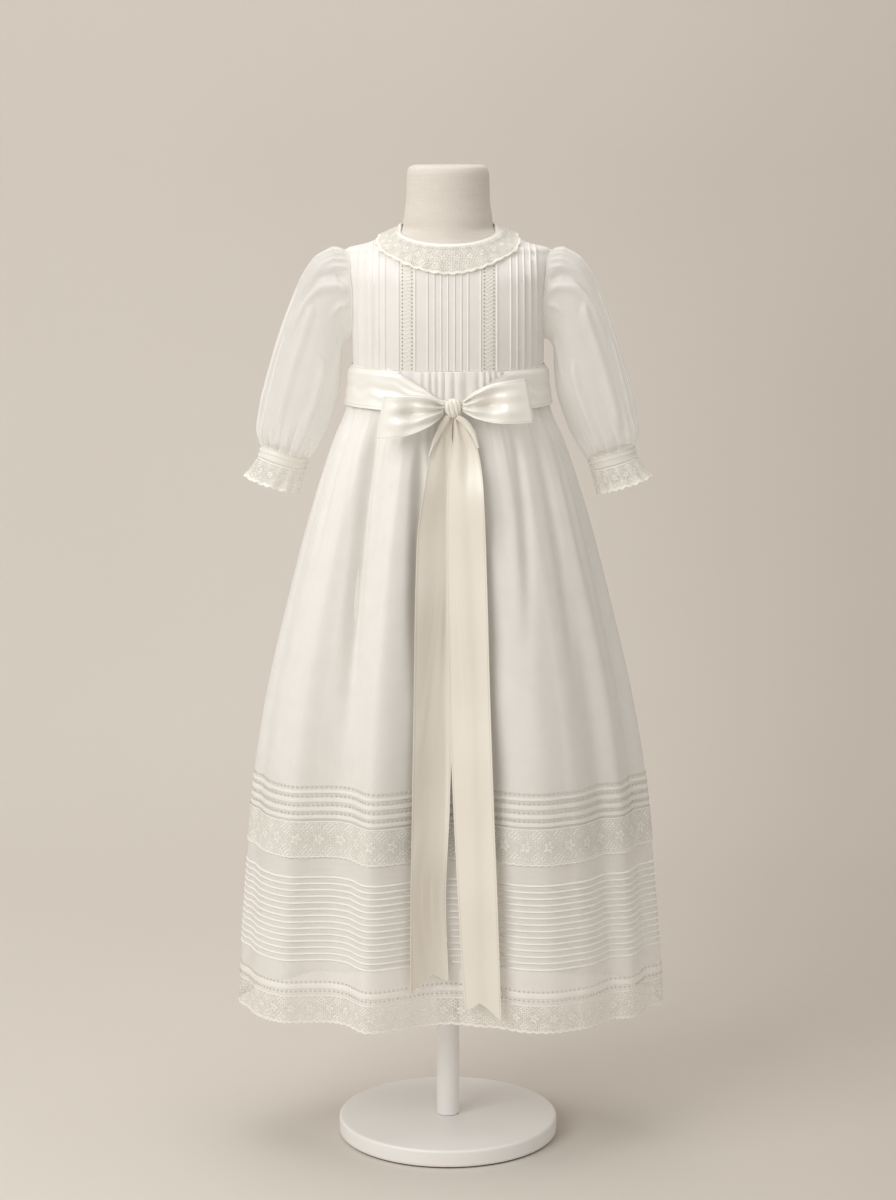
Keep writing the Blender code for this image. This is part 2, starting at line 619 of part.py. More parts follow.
def build_collar():
    columns = COLLAR_WAVES * 2
    drops = ((0.0, 0.0), (0.35, 0.35), (0.7, 0.75), (1.0, 1.0))
    outer, inner = {}, {}
    for r, (share, wave) in enumerate(drops):
        outer[r], inner[r] = {}, {}
        for c in range(columns + 1):
            turn = -178.5 + 357 * c / columns
            edge = collar_path(turn, 0.0)
            slope = (off_torso(edge, 0.001) - edge).z * 1000
            top = 0.0012 + 0.0040 * slope
            low = COLLAR_DROP * (1 - 0.2 * math.sin(math.radians(turn)) ** 2)
            rise = COLLAR_WAVE_HEIGHT * wave * 0.5 * (1 - math.cos(math.tau * COLLAR_WAVES * c / columns))
            point = collar_path(turn, top + (low - top) * share)
            outer[r][c] = off_torso(point, COLLAR_START + LACE_WALL + rise)
            inner[r][c] = off_torso(point, COLLAR_START + rise)
    cloth_wall("collar", outer, inner, "lace")


def build_neckband():
    columns = 36
    profile = ((0.0, 0.0036), (0.0024, BAND_OUT), (BAND_HEIGHT, 0.0028))
    outer, inner = {}, {}
    for r, (height, out) in enumerate(profile):
        outer[r], inner[r] = {}, {}
        for c in range(columns + 1):
            turn = -178.5 + 357 * c / columns
            z = neckline_height(turn) + SEAM_GAP + height
            reach, angle = torso_reach(turn, z), math.radians(turn)
            point = Vector((reach * math.sin(angle), -reach * math.cos(angle), z))
            flat = Vector((point.x, point.y, 0)).normalized()
            outer[r][c] = point + flat * out
            inner[r][c] = point + flat * FORM_CLEARANCE
    cloth_wall("neckband", outer, inner, "satin")


# Skirt


def skirt_value(column, z):
    return along(SKIRT_SECTIONS, "z", column, z)


def fold_height(turn, z):
    """How far the folds carry the cloth out at a turn and height."""
    total = 0.0
    for fold in FOLDS:
        away = (turn - fold["turn"] + 180) % 360 - 180
        flank = fold["fall"] if away > 0 else fold["rise"]
        if abs(away) < flank:
            total += fold["height"] * 0.5 * (1 + math.cos(math.pi * away / flank))
    return total * skirt_value("fold", z)


def gather_height(turn, z):
    """How far the small gathers under the waist seam stand out."""
    wave = 0.5 - 0.5 * math.cos(math.radians(turn * GATHERS))
    return GATHER_HEIGHT * wave * (0.85 + 0.15 * math.sin(math.radians(turn * 5))) * skirt_value("gather", z)


def skirt_surface(share_of_fold=1.0, inset=0.0):
    """The skirt's surface as a function of turn and height. The lining takes only a share of the folds."""

    def surface(turn, z):
        depth = skirt_value("front" if math.cos(math.radians(turn)) >= 0 else "back", z)
        sink = skirt_value("lining", z) * inset
        x, y = ring_point(skirt_value("half_width", z) - sink, depth - sink, SKIRT_POWER, turn)
        out = fold_height(turn, z) * share_of_fold
        sine, cosine = math.sin(math.radians(turn)), math.cos(math.radians(turn))
        away = Vector((sine * depth, -cosine * skirt_value("half_width", z), 0)).normalized()
        sway = SKIRT_SWAY * (WAIST - z) / (WAIST - HEM)
        return Vector((x + sway, y, z)) + away * out

    return surface


OUTER_SKIRT = skirt_surface()
LINING = skirt_surface(0.8, 1.0)
SKIRT_STEPS = (0.6, 0.0008)
COLUMN_SPACING = {-90.0: 5.4, 90.0: 7.0}
HALVES = (("front", -90.0), ("back", 90.0))


def skirt_turns(start):
    """Turns of the columns of half the skirt: the crests and feet of the folds, then the middles of long flanks."""
    marks = [start, start + 180]
    for shares in ((0,), (-1, 1), (-0.5, 0.5)):
        for fold in FOLDS:
            for share in shares:
                flank = fold["fall"] if share > 0 else fold["rise"]
                turn = fold["turn"] + share * flank
                if start < turn < start + 180 and min(abs(turn - mark) for mark in marks) > COLUMN_SPACING[start]:
                    marks.append(turn)
    return sorted(marks)


def skirt_wall(name, start, rows, wall, finish_name, surface=OUTER_SKIRT):
    """Half of a skirt tier. A row is its height, how far the outside is raised there, how many gathers stand on
    it, and how far the inside is raised, or None where the plain inside has no row."""
    shift = Vector((0.0, -SEAM_GAP / 2 if start < 0 else SEAM_GAP / 2, 0.0))
    main = skirt_turns(start)
    gathered = [start + 180 * c / GATHERS for c in range(GATHERS + 1)]
    outer, inner = {}, {}
    for r, (z, out, small, inside) in enumerate(rows):
        turns = gathered if small else main
        columns = {}
        for turn in turns:
            rise = out + (gather_height(turn, z) if small else 0.0)
            columns[turn] = lifted(surface, turn, z, rise, SKIRT_STEPS, axis_point) + shift
        outer[r] = columns
        if inside is not None:
            inner[r] = {
                turn: lifted(surface, turn, z, inside - wall, SKIRT_STEPS, axis_point) + shift for turn in turns
            }
    cloth_wall(name, outer, inner, finish_name)


def build_skirt():
    rows = [(z, 0.0, True, 0.0) for z in (WAIST - SEAM_GAP, 0.735, 0.715)]
    rows += [(z, 0.0, False, 0.0) for z in (0.685, 0.640, 0.580, 0.510, 0.440, TUCK_BAND_TOP)]
    for tuck in range(WIDE_TUCKS):
        fold_edge = TUCK_BAND_TOP - WIDE_TUCK_PITCH * (tuck + 1)
        last = tuck == WIDE_TUCKS - 1
        rows.append((fold_edge + 0.0009, WIDE_TUCK_HEIGHT, False, None))
        rows.append((fold_edge, 0.0, False, 0.0 if last else None))
    for half, start in HALVES:
        skirt_wall(f"skirt_{half}", start, rows, SKIRT_WALL, "organza")


def build_hem_panel():
    rows = [(LACE_TOP - SEAM_GAP, 0.0, False, 0.0), (LACE_BOTTOM, 0.0, False, 0.0)]
    rows.append((PINTUCK_TOP + 0.0025, 0.0, False, None))
    for tuck in range(PINTUCKS):
        edge = PINTUCK_TOP - PINTUCK_PITCH * tuck
        rows.append((edge, PINTUCK_HEIGHT, False, None))
        rows.append((edge - 0.0010, 0.0, False, 0.0 if tuck == PINTUCKS // 2 else None))
    rows.append((HEM_LACE_TOP + SEAM_GAP, 0.0, False, 0.0))
    for half, start in HALVES:
        skirt_wall(f"tucked_panel_{half}", start, rows, SKIRT_WALL, "organza")


def build_lace_bands():
    out = SEAM_GAP + LACE_WALL
    band = [(LACE_TOP - SEAM_GAP, out, False, out), (LACE_BOTTOM, out, False, out)]
    edging = [(z, 0.0, False, 0.0) for z in (HEM_LACE_TOP, HEM)]
    for half, start in HALVES:
        skirt_wall(f"lace_band_{half}", start, band, LACE_WALL, "lace")
        skirt_wall(f"hem_lace_{half}", start, edging, LACE_WALL, "lace")


def build_lining():
    rows = [(z, 0.0, False, 0.0) for z in (WAIST - SEAM_GAP, 0.735, 0.715, 0.685, 0.640, 0.560, 0.440, LINING_HEM)]
    for half, start in HALVES:
        skirt_wall(f"lining_{half}", start, rows, LACE_WALL, "lining", surface=LINING)


# Sleeves


def armhole_rim(angle, side):
    """A point just outside the bodice at the armhole's edge. Angle 90 is the top of the armhole."""
    z = ARMHOLE_MIDDLE + (ARMHOLE_HALF_HEIGHT + ARMHOLE_LAP) * math.sin(math.radians(angle))
    y = (ARMHOLE_HALF_DEPTH + ARMHOLE_LAP) * math.cos(math.radians(angle))
    power = torso_value("power", z)
    depth = torso_value("front" if y < 0 else "back", z)
    x = torso_value("half_width", z) * (1 - (abs(y) / depth) ** power) ** (1 / power)
    off = FORM_CLEARANCE + BODICE_WALL + ARMHOLE_OFF
    return Vector((side * (x + off), y, z))


def tube_surface(sections, side, first_row=None):
    """A sleeve-like surface through its sections, as a function of the angle round it and the place along it."""

    def surface(angle, place):
        value = {name: along(sections, "along", name, place) for name in sections[0] if name != "along"}
        outer = Vector((side * value["outer_x"], 0.0, value["outer_z"]))
        inner = Vector((side * value["inner_x"], 0.0, value["inner_z"]))
        sine, cosine = math.sin(math.radians(angle)), math.cos(math.radians(angle))
        point = (outer + inner) / 2 + (outer - inner) / 2 * sine + Vector((0, value["depth"] * cosine, 0))
        if first_row and place < sections[0]["along"]:
            share = max(0.0, place) / sections[0]["along"]
            start = first_row(angle, side)
            point = start + (point - start) * share
        return point

    return surface


def tube_wall(name, sections, side, places, columns, wall, waves, wave_height, finish_name, first_row=None):
    """A sleeve, cuff or frill: a tube whose wall waves where it is gathered."""
    surface = tube_surface(sections, side, first_row)
    outer, inner = {}, {}
    for r, place in enumerate(places):
        centre = sum((surface(a, place) for a in range(0, 360, 30)), Vector()) / 12
        outer[r], inner[r] = {}, {}
        gather = along(sections, "along", "gather", place)
        for c in range(columns):
            angle = 360 * c / columns
            wave = 0.5 + 0.5 * math.cos(math.radians(angle * waves))
            rise = wave_height * gather * wave
            for sheet, height in ((outer, rise), (inner, rise - wall)):
                sheet[r][c] = lifted(surface, angle, place, height, (2.0, 0.02), lambda here: centre)
    cloth_wall(name, outer, inner, finish_name, closed=True)


def build_sleeves():
    for name, side in (("left", -1.0), ("right", 1.0)):
        places = [0.0, 0.6, 1.5, 2.8, 4.4, 6.0, 7.3, 8.2, 9.0]
        tube_wall(f"sleeve_{name}", SLEEVE_SECTIONS, side, places, 24, SLEEVE_WALL, SLEEVE_WAVES, SLEEVE_WAVE_HEIGHT,
                  "organza", armhole_rim)
        tube_wall(f"cuff_{name}", CUFF_SECTIONS, side, [0.0, 1.0], 24, 0.0015, 1, 0.0, "satin")
        tube_wall(f"cuff_frill_{name}", FRILL_SECTIONS, side, [0.0, 1.0, 2.0], 24, LACE_WALL, 12, 0.0020, "lace")


# Satin sash and bow


def build_sash():
    columns = 40
    surface = OUTER_SKIRT
    outer, inner = {}, {}
    start, end = KNOT_TURN + SASH_SECTIONS[0]["away"], KNOT_TURN + 360 - SASH_SECTIONS[0]["away"]
    for r, share in enumerate((0.0, 0.5, 1.0)):
        outer[r], inner[r] = {}, {}
        for c in range(columns + 1):
            turn = start + (end - start) * c / columns
            away = min(turn - KNOT_TURN, 360 - turn + KNOT_TURN)
            top = along(SASH_SECTIONS, "away", "top", away)
            low = along(SASH_SECTIONS, "away", "bottom", away)
            off = along(SASH_SECTIONS, "away", "off", away) - SASH_LEAN * (1 - min(1.0, 2 * share))
            z = top + (low - top) * share
            outer[r][c] = lifted(surface, turn, z, off + SATIN_WALL, SKIRT_STEPS, axis_point)
            inner[r][c] = lifted(surface, turn, z, off, SKIRT_STEPS, axis_point)
    cloth_wall("sash", outer, inner, "satin")


def build_knot():
    """The tight wrap of ribbon at the middle of the bow, with the crease of its two turns."""
    rings, segments, power = 7, 16, 2.6
    bm = bmesh.new()
    rows = []
    for r in range(1, rings):
        tilt = math.pi * r / rings - math.pi / 2
        row = []
        for s in range(segments):
            angle = math.tau * s / segments
            part = [math.cos(tilt) * math.cos(angle), math.cos(tilt) * math.sin(angle), math.sin(tilt)]
            rounded = [math.copysign(abs(p) ** (2 / power), p) for p in part]
            crease = 1 - 0.10 * math.exp(-((part[0] - 0.25 * part[2]) / 0.22) ** 2)
            offset = Vector((rounded[0] * KNOT_HALF.x, rounded[1] * KNOT_HALF.y * crease, rounded[2] * KNOT_HALF.z))
            row.append(bm.verts.new(KNOT_CENTRE + offset))
        rows.append(row)
    for low, high in zip(rows, rows[1:]):
        for i in range(segments):
            j = (i + 1) % segments
            bm.faces.new((low[i], low[j], high[j], high[i]))
    for row in (rows[0], rows[-1]):
        bm.faces.new(row)
    new_object("bow_knot", bm, "satin")


def build_loops():
    """Each loop is one ribbon wall that leaves the knot, folds at its far end and comes back behind itself."""
    stops = [("front", s) for s in (0.0, 0.12, 0.28, 0.46, 0.64, 0.82, 0.96)]
    stops += [("front", 1.0), ("back", 1.0)]
    stops += [("back", s) for s in (0.94, 0.76, 0.55, 0.34, 0.16, 0.0)]
    shares = (-1.0, -0.4, 0.4, 1.0)
    for loop in LOOPS:
        side = math.copysign(1.0, loop["far_x"] - loop["near_x"])
        line = []
        for face, reach in stops:
            x = loop["near_x"] + (loop["far_x"] - loop["near_x"]) * reach
            y = along(LOOP_SECTIONS, "reach", face, reach)
            half = along(LOOP_SECTIONS, "reach", "half_height", reach)
            z = loop["near_z"] + (loop["far_z"] - loop["near_z"]) * reach ** 0.8
            line.append((x, y, z, half * (0.94 if face == "back" else 1.0)))
        outer, inner = {}, {}
        for r, (x, y, z, half) in enumerate(line):
            before, after = line[max(r - 1, 0)], line[min(r + 1, len(line) - 1)]
            run = Vector((after[0] - before[0], after[1] - before[1], 0)).normalized()
            out = Vector((run.y, -run.x, 0)) * (-side)
            outer[r], inner[r] = {}, {}
            for c, share in enumerate(shares):
                lean = 0.0035 * side * share * (1 if stops[r][1] > 0.5 else stops[r][1] * 2)
                dent = -0.0016 * (1 - share * share) * math.sin(math.pi * stops[r][1])
                point = Vector((x - lean, y, z + half * share))
                outer[r][c] = point + out * (SATIN_WALL / 2 + dent)
                inner[r][c] = point - out * (SATIN_WALL / 2 - dent)
        cloth_wall(loop["name"], outer, inner, "satin")


def skirt_front_depth(x, z):
    """How far forward the skirt reaches near a distance from the centre line."""
    forward = 0.0
    for step in range(-50, 51):
        point = OUTER_SKIRT(step * 0.6, z)
        if abs(point.x - x) <= TAIL_MARGIN:
            forward = min(forward, point.y)
    return forward


def build_tails():
    """The sash's two hanging ends, laid just in front of the skirt, with notched ends."""
    shares = (0.0, 0.25, 0.5, 0.75, 1.0)
    for name, sections in (("sash_tail_left", LEFT_TAIL), ("sash_tail_right", RIGHT_TAIL)):
        top, bottom = sections[0]["z"], sections[-1]["z"]
        heights = [top - (top - bottom) * (i / 13) ** 1.2 for i in range(14)]
        outer, inner = {}, {}
        for r, z in enumerate(heights):
            left = along(sections, "z", "left", z)
            right = along(sections, "z", "right", z)
            off = along(sections, "z", "off", z)
            outer[r], inner[r] = {}, {}
            for c, share in enumerate(shares):
                x = left + (right - left) * share
                y = skirt_front_depth(x, z) - off
                notch = TAIL_NOTCH * (1 - abs(2 * share - 1)) if r == len(heights) - 1 else 0.0
                outer[r][c] = Vector((x, y - SATIN_WALL, z + notch))
                inner[r][c] = Vector((x, y, z + notch))
        cloth_wall(name, outer, inner, "satin")


def main():
    clear_scene()
    build_stand()
    build_form()
    build_bodice()
    build_buttons()
    build_collar()
    build_neckband()
    build_lining()
    build_skirt()
    build_hem_panel()
    build_lace_bands()
    build_sleeves()
    build_sash()
    build_knot()
    build_loops()
    build_tails()


main()
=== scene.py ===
"""The looks of a christening gown that hangs on a limbless dress form.

Every cloth piece is a fine grid of points worked out from the gown's own measures, in metres, with the
frame's axes: the front faces -Y and +Z is up. A turn is an angle round the upright axis in degrees, from the
front towards +X. Grids have rows from top to bottom and columns along the cloth.
"""

from __future__ import annotations

import logging
import math
from dataclasses import dataclass
from enum import Enum
from typing import Sequence

import bpy
import numpy as np
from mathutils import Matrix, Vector

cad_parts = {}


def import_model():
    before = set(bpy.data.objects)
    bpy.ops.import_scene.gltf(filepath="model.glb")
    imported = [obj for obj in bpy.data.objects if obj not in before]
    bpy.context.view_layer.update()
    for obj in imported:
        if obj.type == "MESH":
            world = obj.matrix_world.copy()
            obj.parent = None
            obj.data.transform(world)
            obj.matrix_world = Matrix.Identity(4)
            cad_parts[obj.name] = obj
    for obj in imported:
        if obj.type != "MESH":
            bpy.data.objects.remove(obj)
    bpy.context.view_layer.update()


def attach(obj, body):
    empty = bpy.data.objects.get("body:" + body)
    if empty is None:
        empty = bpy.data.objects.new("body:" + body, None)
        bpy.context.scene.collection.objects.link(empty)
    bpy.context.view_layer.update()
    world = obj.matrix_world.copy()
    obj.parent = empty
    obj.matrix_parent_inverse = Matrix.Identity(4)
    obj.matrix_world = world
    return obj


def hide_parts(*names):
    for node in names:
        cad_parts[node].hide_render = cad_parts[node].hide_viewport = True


LOG = logging.getLogger("christening_gown")
BODY = "root"
Rows = tuple[dict[str, float], ...]
Route = tuple[tuple[float, float, float], ...]
Colour = tuple[int, int, int]

WAIST = 0.7597
SKIRT_END = 0.3345
HEM_LACE_TOP = 0.1625
HEM = 0.1350
LAYERS = "extra_layers"
RIBBON_WIDTH = 0.038
FRONT = Vector((0, -1, 0))
BACK = Vector((0, 1, 0))


class Side(Enum):
    """The two sides of the gown, as someone who looks at its front sees them."""

    LEFT = -1.0
    RIGHT = 1.0

    @property
    def word(self) -> str:
        """The side's name as it stands in the names of pieces."""
        return self.name.lower()


# Reading tables and measuring grids


def table(columns: str, *rows: tuple[float, ...]) -> Rows:
    """Names the values of each row by its columns."""
    return tuple(dict(zip(columns.split(), row, strict=True)) for row in rows)


def read_table(rows: Rows, key: str, column: str, at: np.ndarray | float) -> np.ndarray:
    """Reads one column on a smooth curve that never passes the table's own values.

    Args:
        rows: the table, in any order.
        key: the column that says where each row stands.
        column: the column to read.
        at: where to read it.

    Returns:
        The values, in the shape of at.
    """
    ordered = sorted(rows, key=lambda row: row[key])
    place = np.array([row[key] for row in ordered])
    value = np.array([row[column] for row in ordered])
    span = np.diff(place)
    slope = np.diff(value) / span
    product = slope[:-1] * slope[1:]
    total = np.where(product > 0, slope[:-1] + slope[1:], 1.0)
    inner = np.where(product > 0, 2 * product / total, 0.0)
    tangent = np.concatenate((slope[:1], inner, slope[-1:]))
    where = np.clip(at, place[0], place[-1])
    i = np.clip(np.searchsorted(place, where, side="right") - 1, 0, len(span) - 1)
    t = (where - place[i]) / span[i]
    ease = value[i] + (value[i + 1] - value[i]) * t * t * (3 - 2 * t)
    start = t * (1 - t) ** 2 * tangent[i] * span[i]
    end = t * t * (t - 1) * tangent[i + 1] * span[i]
    return ease + start + end


def smooth_step(low: float, high: float, at: np.ndarray | float) -> np.ndarray:
    """Eases from 0 at low to 1 at high."""
    t = np.clip((np.asarray(at, dtype=float) - low) / (high - low), 0.0, 1.0)
    return t * t * (3 - 2 * t)


def ripple(at: np.ndarray, waves: Sequence[float], seed: int) -> np.ndarray:
    """A soft, uneven wave between about -1 and 1.

    Args:
        at: the place along the cloth, in turns of the first wave for each unit.
        waves: how many waves each of its parts has for a unit.
        seed: picks the phases.

    Returns:
        The wave's height at each place.
    """
    phases = np.random.default_rng(seed).uniform(0, 2 * math.pi, len(waves))
    parts = [np.cos(2 * math.pi * wave * at + phase) for wave, phase in zip(waves, phases)]
    return sum(parts) / math.sqrt(len(waves))


def turns_round(count: int) -> np.ndarray:
    """Evenly spaced turns all the way round, in degrees."""
    return np.linspace(0, 360, count, endpoint=False)


def turn_between(turn: np.ndarray, middle: np.ndarray | float) -> np.ndarray:
    """How far turns lie from another, between -180 and 180."""
    return (turn - middle + 180) % 360 - 180


def straight_out(reach: np.ndarray, turn: np.ndarray, z: np.ndarray) -> np.ndarray:
    """Points at a distance from the upright axis, by turn and height."""
    return np.stack((reach * np.sin(np.radians(turn)), -reach * np.cos(np.radians(turn)), z), axis=1)


def oval(turn: np.ndarray, half_width: np.ndarray, depth: np.ndarray, power) -> tuple[np.ndarray, ...]:
    """The x and y of a rounded section with these half sizes, by turn."""
    sine, cosine = np.sin(np.radians(turn)), np.cos(np.radians(turn))
    x = half_width * np.sign(sine) * np.abs(sine) ** (2 / power)
    return x, -depth * np.sign(cosine) * np.abs(cosine) ** (2 / power)


def closed(line: np.ndarray) -> np.ndarray:
    """A line of points that ends where it starts."""
    return np.vstack((line, line[:1]))


def grid_normals(points: np.ndarray, wrap: bool, facing: Vector | None) -> np.ndarray:
    """Unit normals of a grid, turned away from the middle of each row or towards a given direction."""
    if wrap:
        across = np.roll(points, -1, axis=1) - np.roll(points, 1, axis=1)
    else:
        across = np.gradient(points, axis=1)
    down = np.gradient(points, axis=0)
    normals = np.cross(across, down)
    normals /= np.maximum(np.linalg.norm(normals, axis=2, keepdims=True), 1e-12)
    out = points - points.mean(axis=1, keepdims=True) if facing is None else np.array(facing)
    if np.sum(normals * out) < 0:
        normals = -normals
    return normals


def cloth_uv(points: np.ndarray, wrap: bool) -> np.ndarray:
    """UV in metres of cloth: along its middle row, and down its middle column."""
    rows, columns = points.shape[:2]
    middle = closed(points[rows // 2]) if wrap else points[rows // 2]
    along = np.concatenate(([0.0], np.cumsum(np.linalg.norm(np.diff(middle, axis=0), axis=1))))
    fall = np.diff(points[:, columns // 2], axis=0)
    down = np.concatenate(([0.0], np.cumsum(np.linalg.norm(fall, axis=1))))
    return np.stack(np.broadcast_arrays(along[None, :], down[:, None]), axis=2)


# Making meshes


def corners_of(grid: np.ndarray) -> np.ndarray:
    """The four corners of each face of a grid, in the order of its outside."""
    return np.stack((grid[:-1, :-1], grid[1:, :-1], grid[1:, 1:], grid[:-1, 1:]), axis=2)


def mesh_object(name: str, verts: np.ndarray, faces: list, uv, material) -> bpy.types.Object:
    """Makes an object from points and faces, with one UV for each corner of each face."""
    mesh = bpy.data.meshes.new(name)
    mesh.from_pydata(verts.tolist(), [], faces)
    if uv is not None:
        mesh.uv_layers.new(name="UVMap").data.foreach_set("uv", uv.ravel().astype(np.float32))
    mesh.materials.append(material)
    mesh.shade_smooth()
    mesh.set_sharp_from_angle(angle=math.radians(50))
    made = bpy.data.objects.new(name, mesh)
    bpy.context.scene.collection.objects.link(made)
    return made


def mark_layers(made: bpy.types.Object, layers: np.ndarray) -> None:
    """Stores how many layers lie over the first at each point, for the cloth's material."""
    stored = made.data.attributes.new(LAYERS, "FLOAT", "POINT")
    stored.data.foreach_set("value", layers.astype(np.float32))


def quads_between(first: np.ndarray, second: np.ndarray) -> np.ndarray:
    """Faces between two equal runs of vertex numbers."""
    return np.stack((first[:-1], second[:-1], second[1:], first[1:]), axis=1)


def cloth_object(
    name: str,
    points: np.ndarray,
    material,
    wrap: bool = False,
    thickness: float = 0.0,
    facing: Vector | None = None,
    uv: np.ndarray | None = None,
    extra: np.ndarray | None = None,
) -> bpy.types.Object:
    """Makes cloth from a grid: one sheer layer, or a closed wall where it has a thickness.

    Args:
        name: the piece's name.
        points: the outer grid, rows by columns by 3.
        material: the cloth's material.
        wrap: whether the last column joins the first.
        thickness: how far the inner side lies behind the outer one.
        facing: the direction that the outside faces, where the rows don't go round something.
        uv: the UV of each point in metres, with one more column where the cloth wraps.
        extra: how many layers lie over the first at each point, or less than 0 where threads are drawn out.

    Returns:
        The new object.
    """
    rows, columns = points.shape[:2]
    layers = np.zeros((rows, columns)) if extra is None else np.broadcast_to(extra, (rows, columns))
    normals = grid_normals(points, wrap, facing)
    uv = cloth_uv(points, wrap) if uv is None else uv
    number = np.arange(rows * columns).reshape(rows, columns)
    if wrap:
        number = np.hstack((number, number[:, :1]))
    corner, corner_uv = corners_of(number).reshape(-1, 4), corners_of(uv).reshape(-1, 4, 2)
    flat = points.reshape(-1, 3)
    first = corner[len(corner) // 2]
    face_normal = np.cross(flat[first[1]] - flat[first[0]], flat[first[2]] - flat[first[0]])
    if face_normal @ normals.reshape(-1, 3)[first[0]] < 0:
        corner, corner_uv = corner[:, ::-1], corner_uv[:, ::-1]
    if not thickness:
        made = mesh_object(name, flat, corner.tolist(), corner_uv, material)
        mark_layers(made, layers.ravel())
        return made
    inside = corner[:, ::-1] + rows * columns
    rims = [(number[0], uv[0], 1), (number[-1], uv[-1], -1)]
    if not wrap:
        rims += [(number[:, 0], uv[:, 0], -1), (number[:, -1], uv[:, -1], 1)]
    faces, face_uv = [corner, inside], [corner_uv, corner_uv[:, ::-1]]
    flipped = corner[0][0] != number[0, 0]
    for edge, edge_uv, way in rims:
        strip = quads_between(edge, edge + rows * columns)
        strip_uv = np.stack((edge_uv[:-1], edge_uv[:-1], edge_uv[1:], edge_uv[1:]), axis=1)
        if (way > 0) != flipped:
            strip, strip_uv = strip[:, ::-1], strip_uv[:, ::-1]
        faces.append(strip)
        face_uv.append(strip_uv)
    verts = np.vstack((flat, (points - normals * thickness).reshape(-1, 3)))
    made = mesh_object(name, verts, np.vstack(faces).tolist(), np.concatenate(face_uv), material)
    mark_layers(made, np.tile(layers.ravel(), 2))
    return made


def ring_solid(name: str, rings: Sequence[np.ndarray], material) -> bpy.types.Object:
    """Makes a closed solid from rings of points, lowest first, with a point in the middle of each end."""
    count = len(rings[0])
    verts = np.vstack([*rings, rings[0].mean(axis=0), rings[-1].mean(axis=0)])
    number = np.arange(len(rings) * count).reshape(len(rings), count)
    number = np.hstack((number, number[:, :1]))
    faces = np.stack((number[:-1, :-1], number[:-1, 1:], number[1:, 1:], number[1:, :-1]), axis=2)
    low = [[number[0, i + 1], number[0, i], len(verts) - 2] for i in range(count)]
    high = [[number[-1, i], number[-1, i + 1], len(verts) - 1] for i in range(count)]
    return mesh_object(name, verts, faces.reshape(-1, 4).tolist() + low + high, None, material)


def lathe_rings(profile: Sequence[tuple[float, float]], segments: int) -> list[np.ndarray]:
    """Rings of points round the upright axis from (radius, height) pairs."""
    angle = np.linspace(0, 2 * math.pi, segments, endpoint=False)
    around = np.stack((np.cos(angle), np.sin(angle)), axis=1)
    return [np.hstack((r * around, np.full((segments, 1), z))) for r, z in profile]


# Geometry Nodes


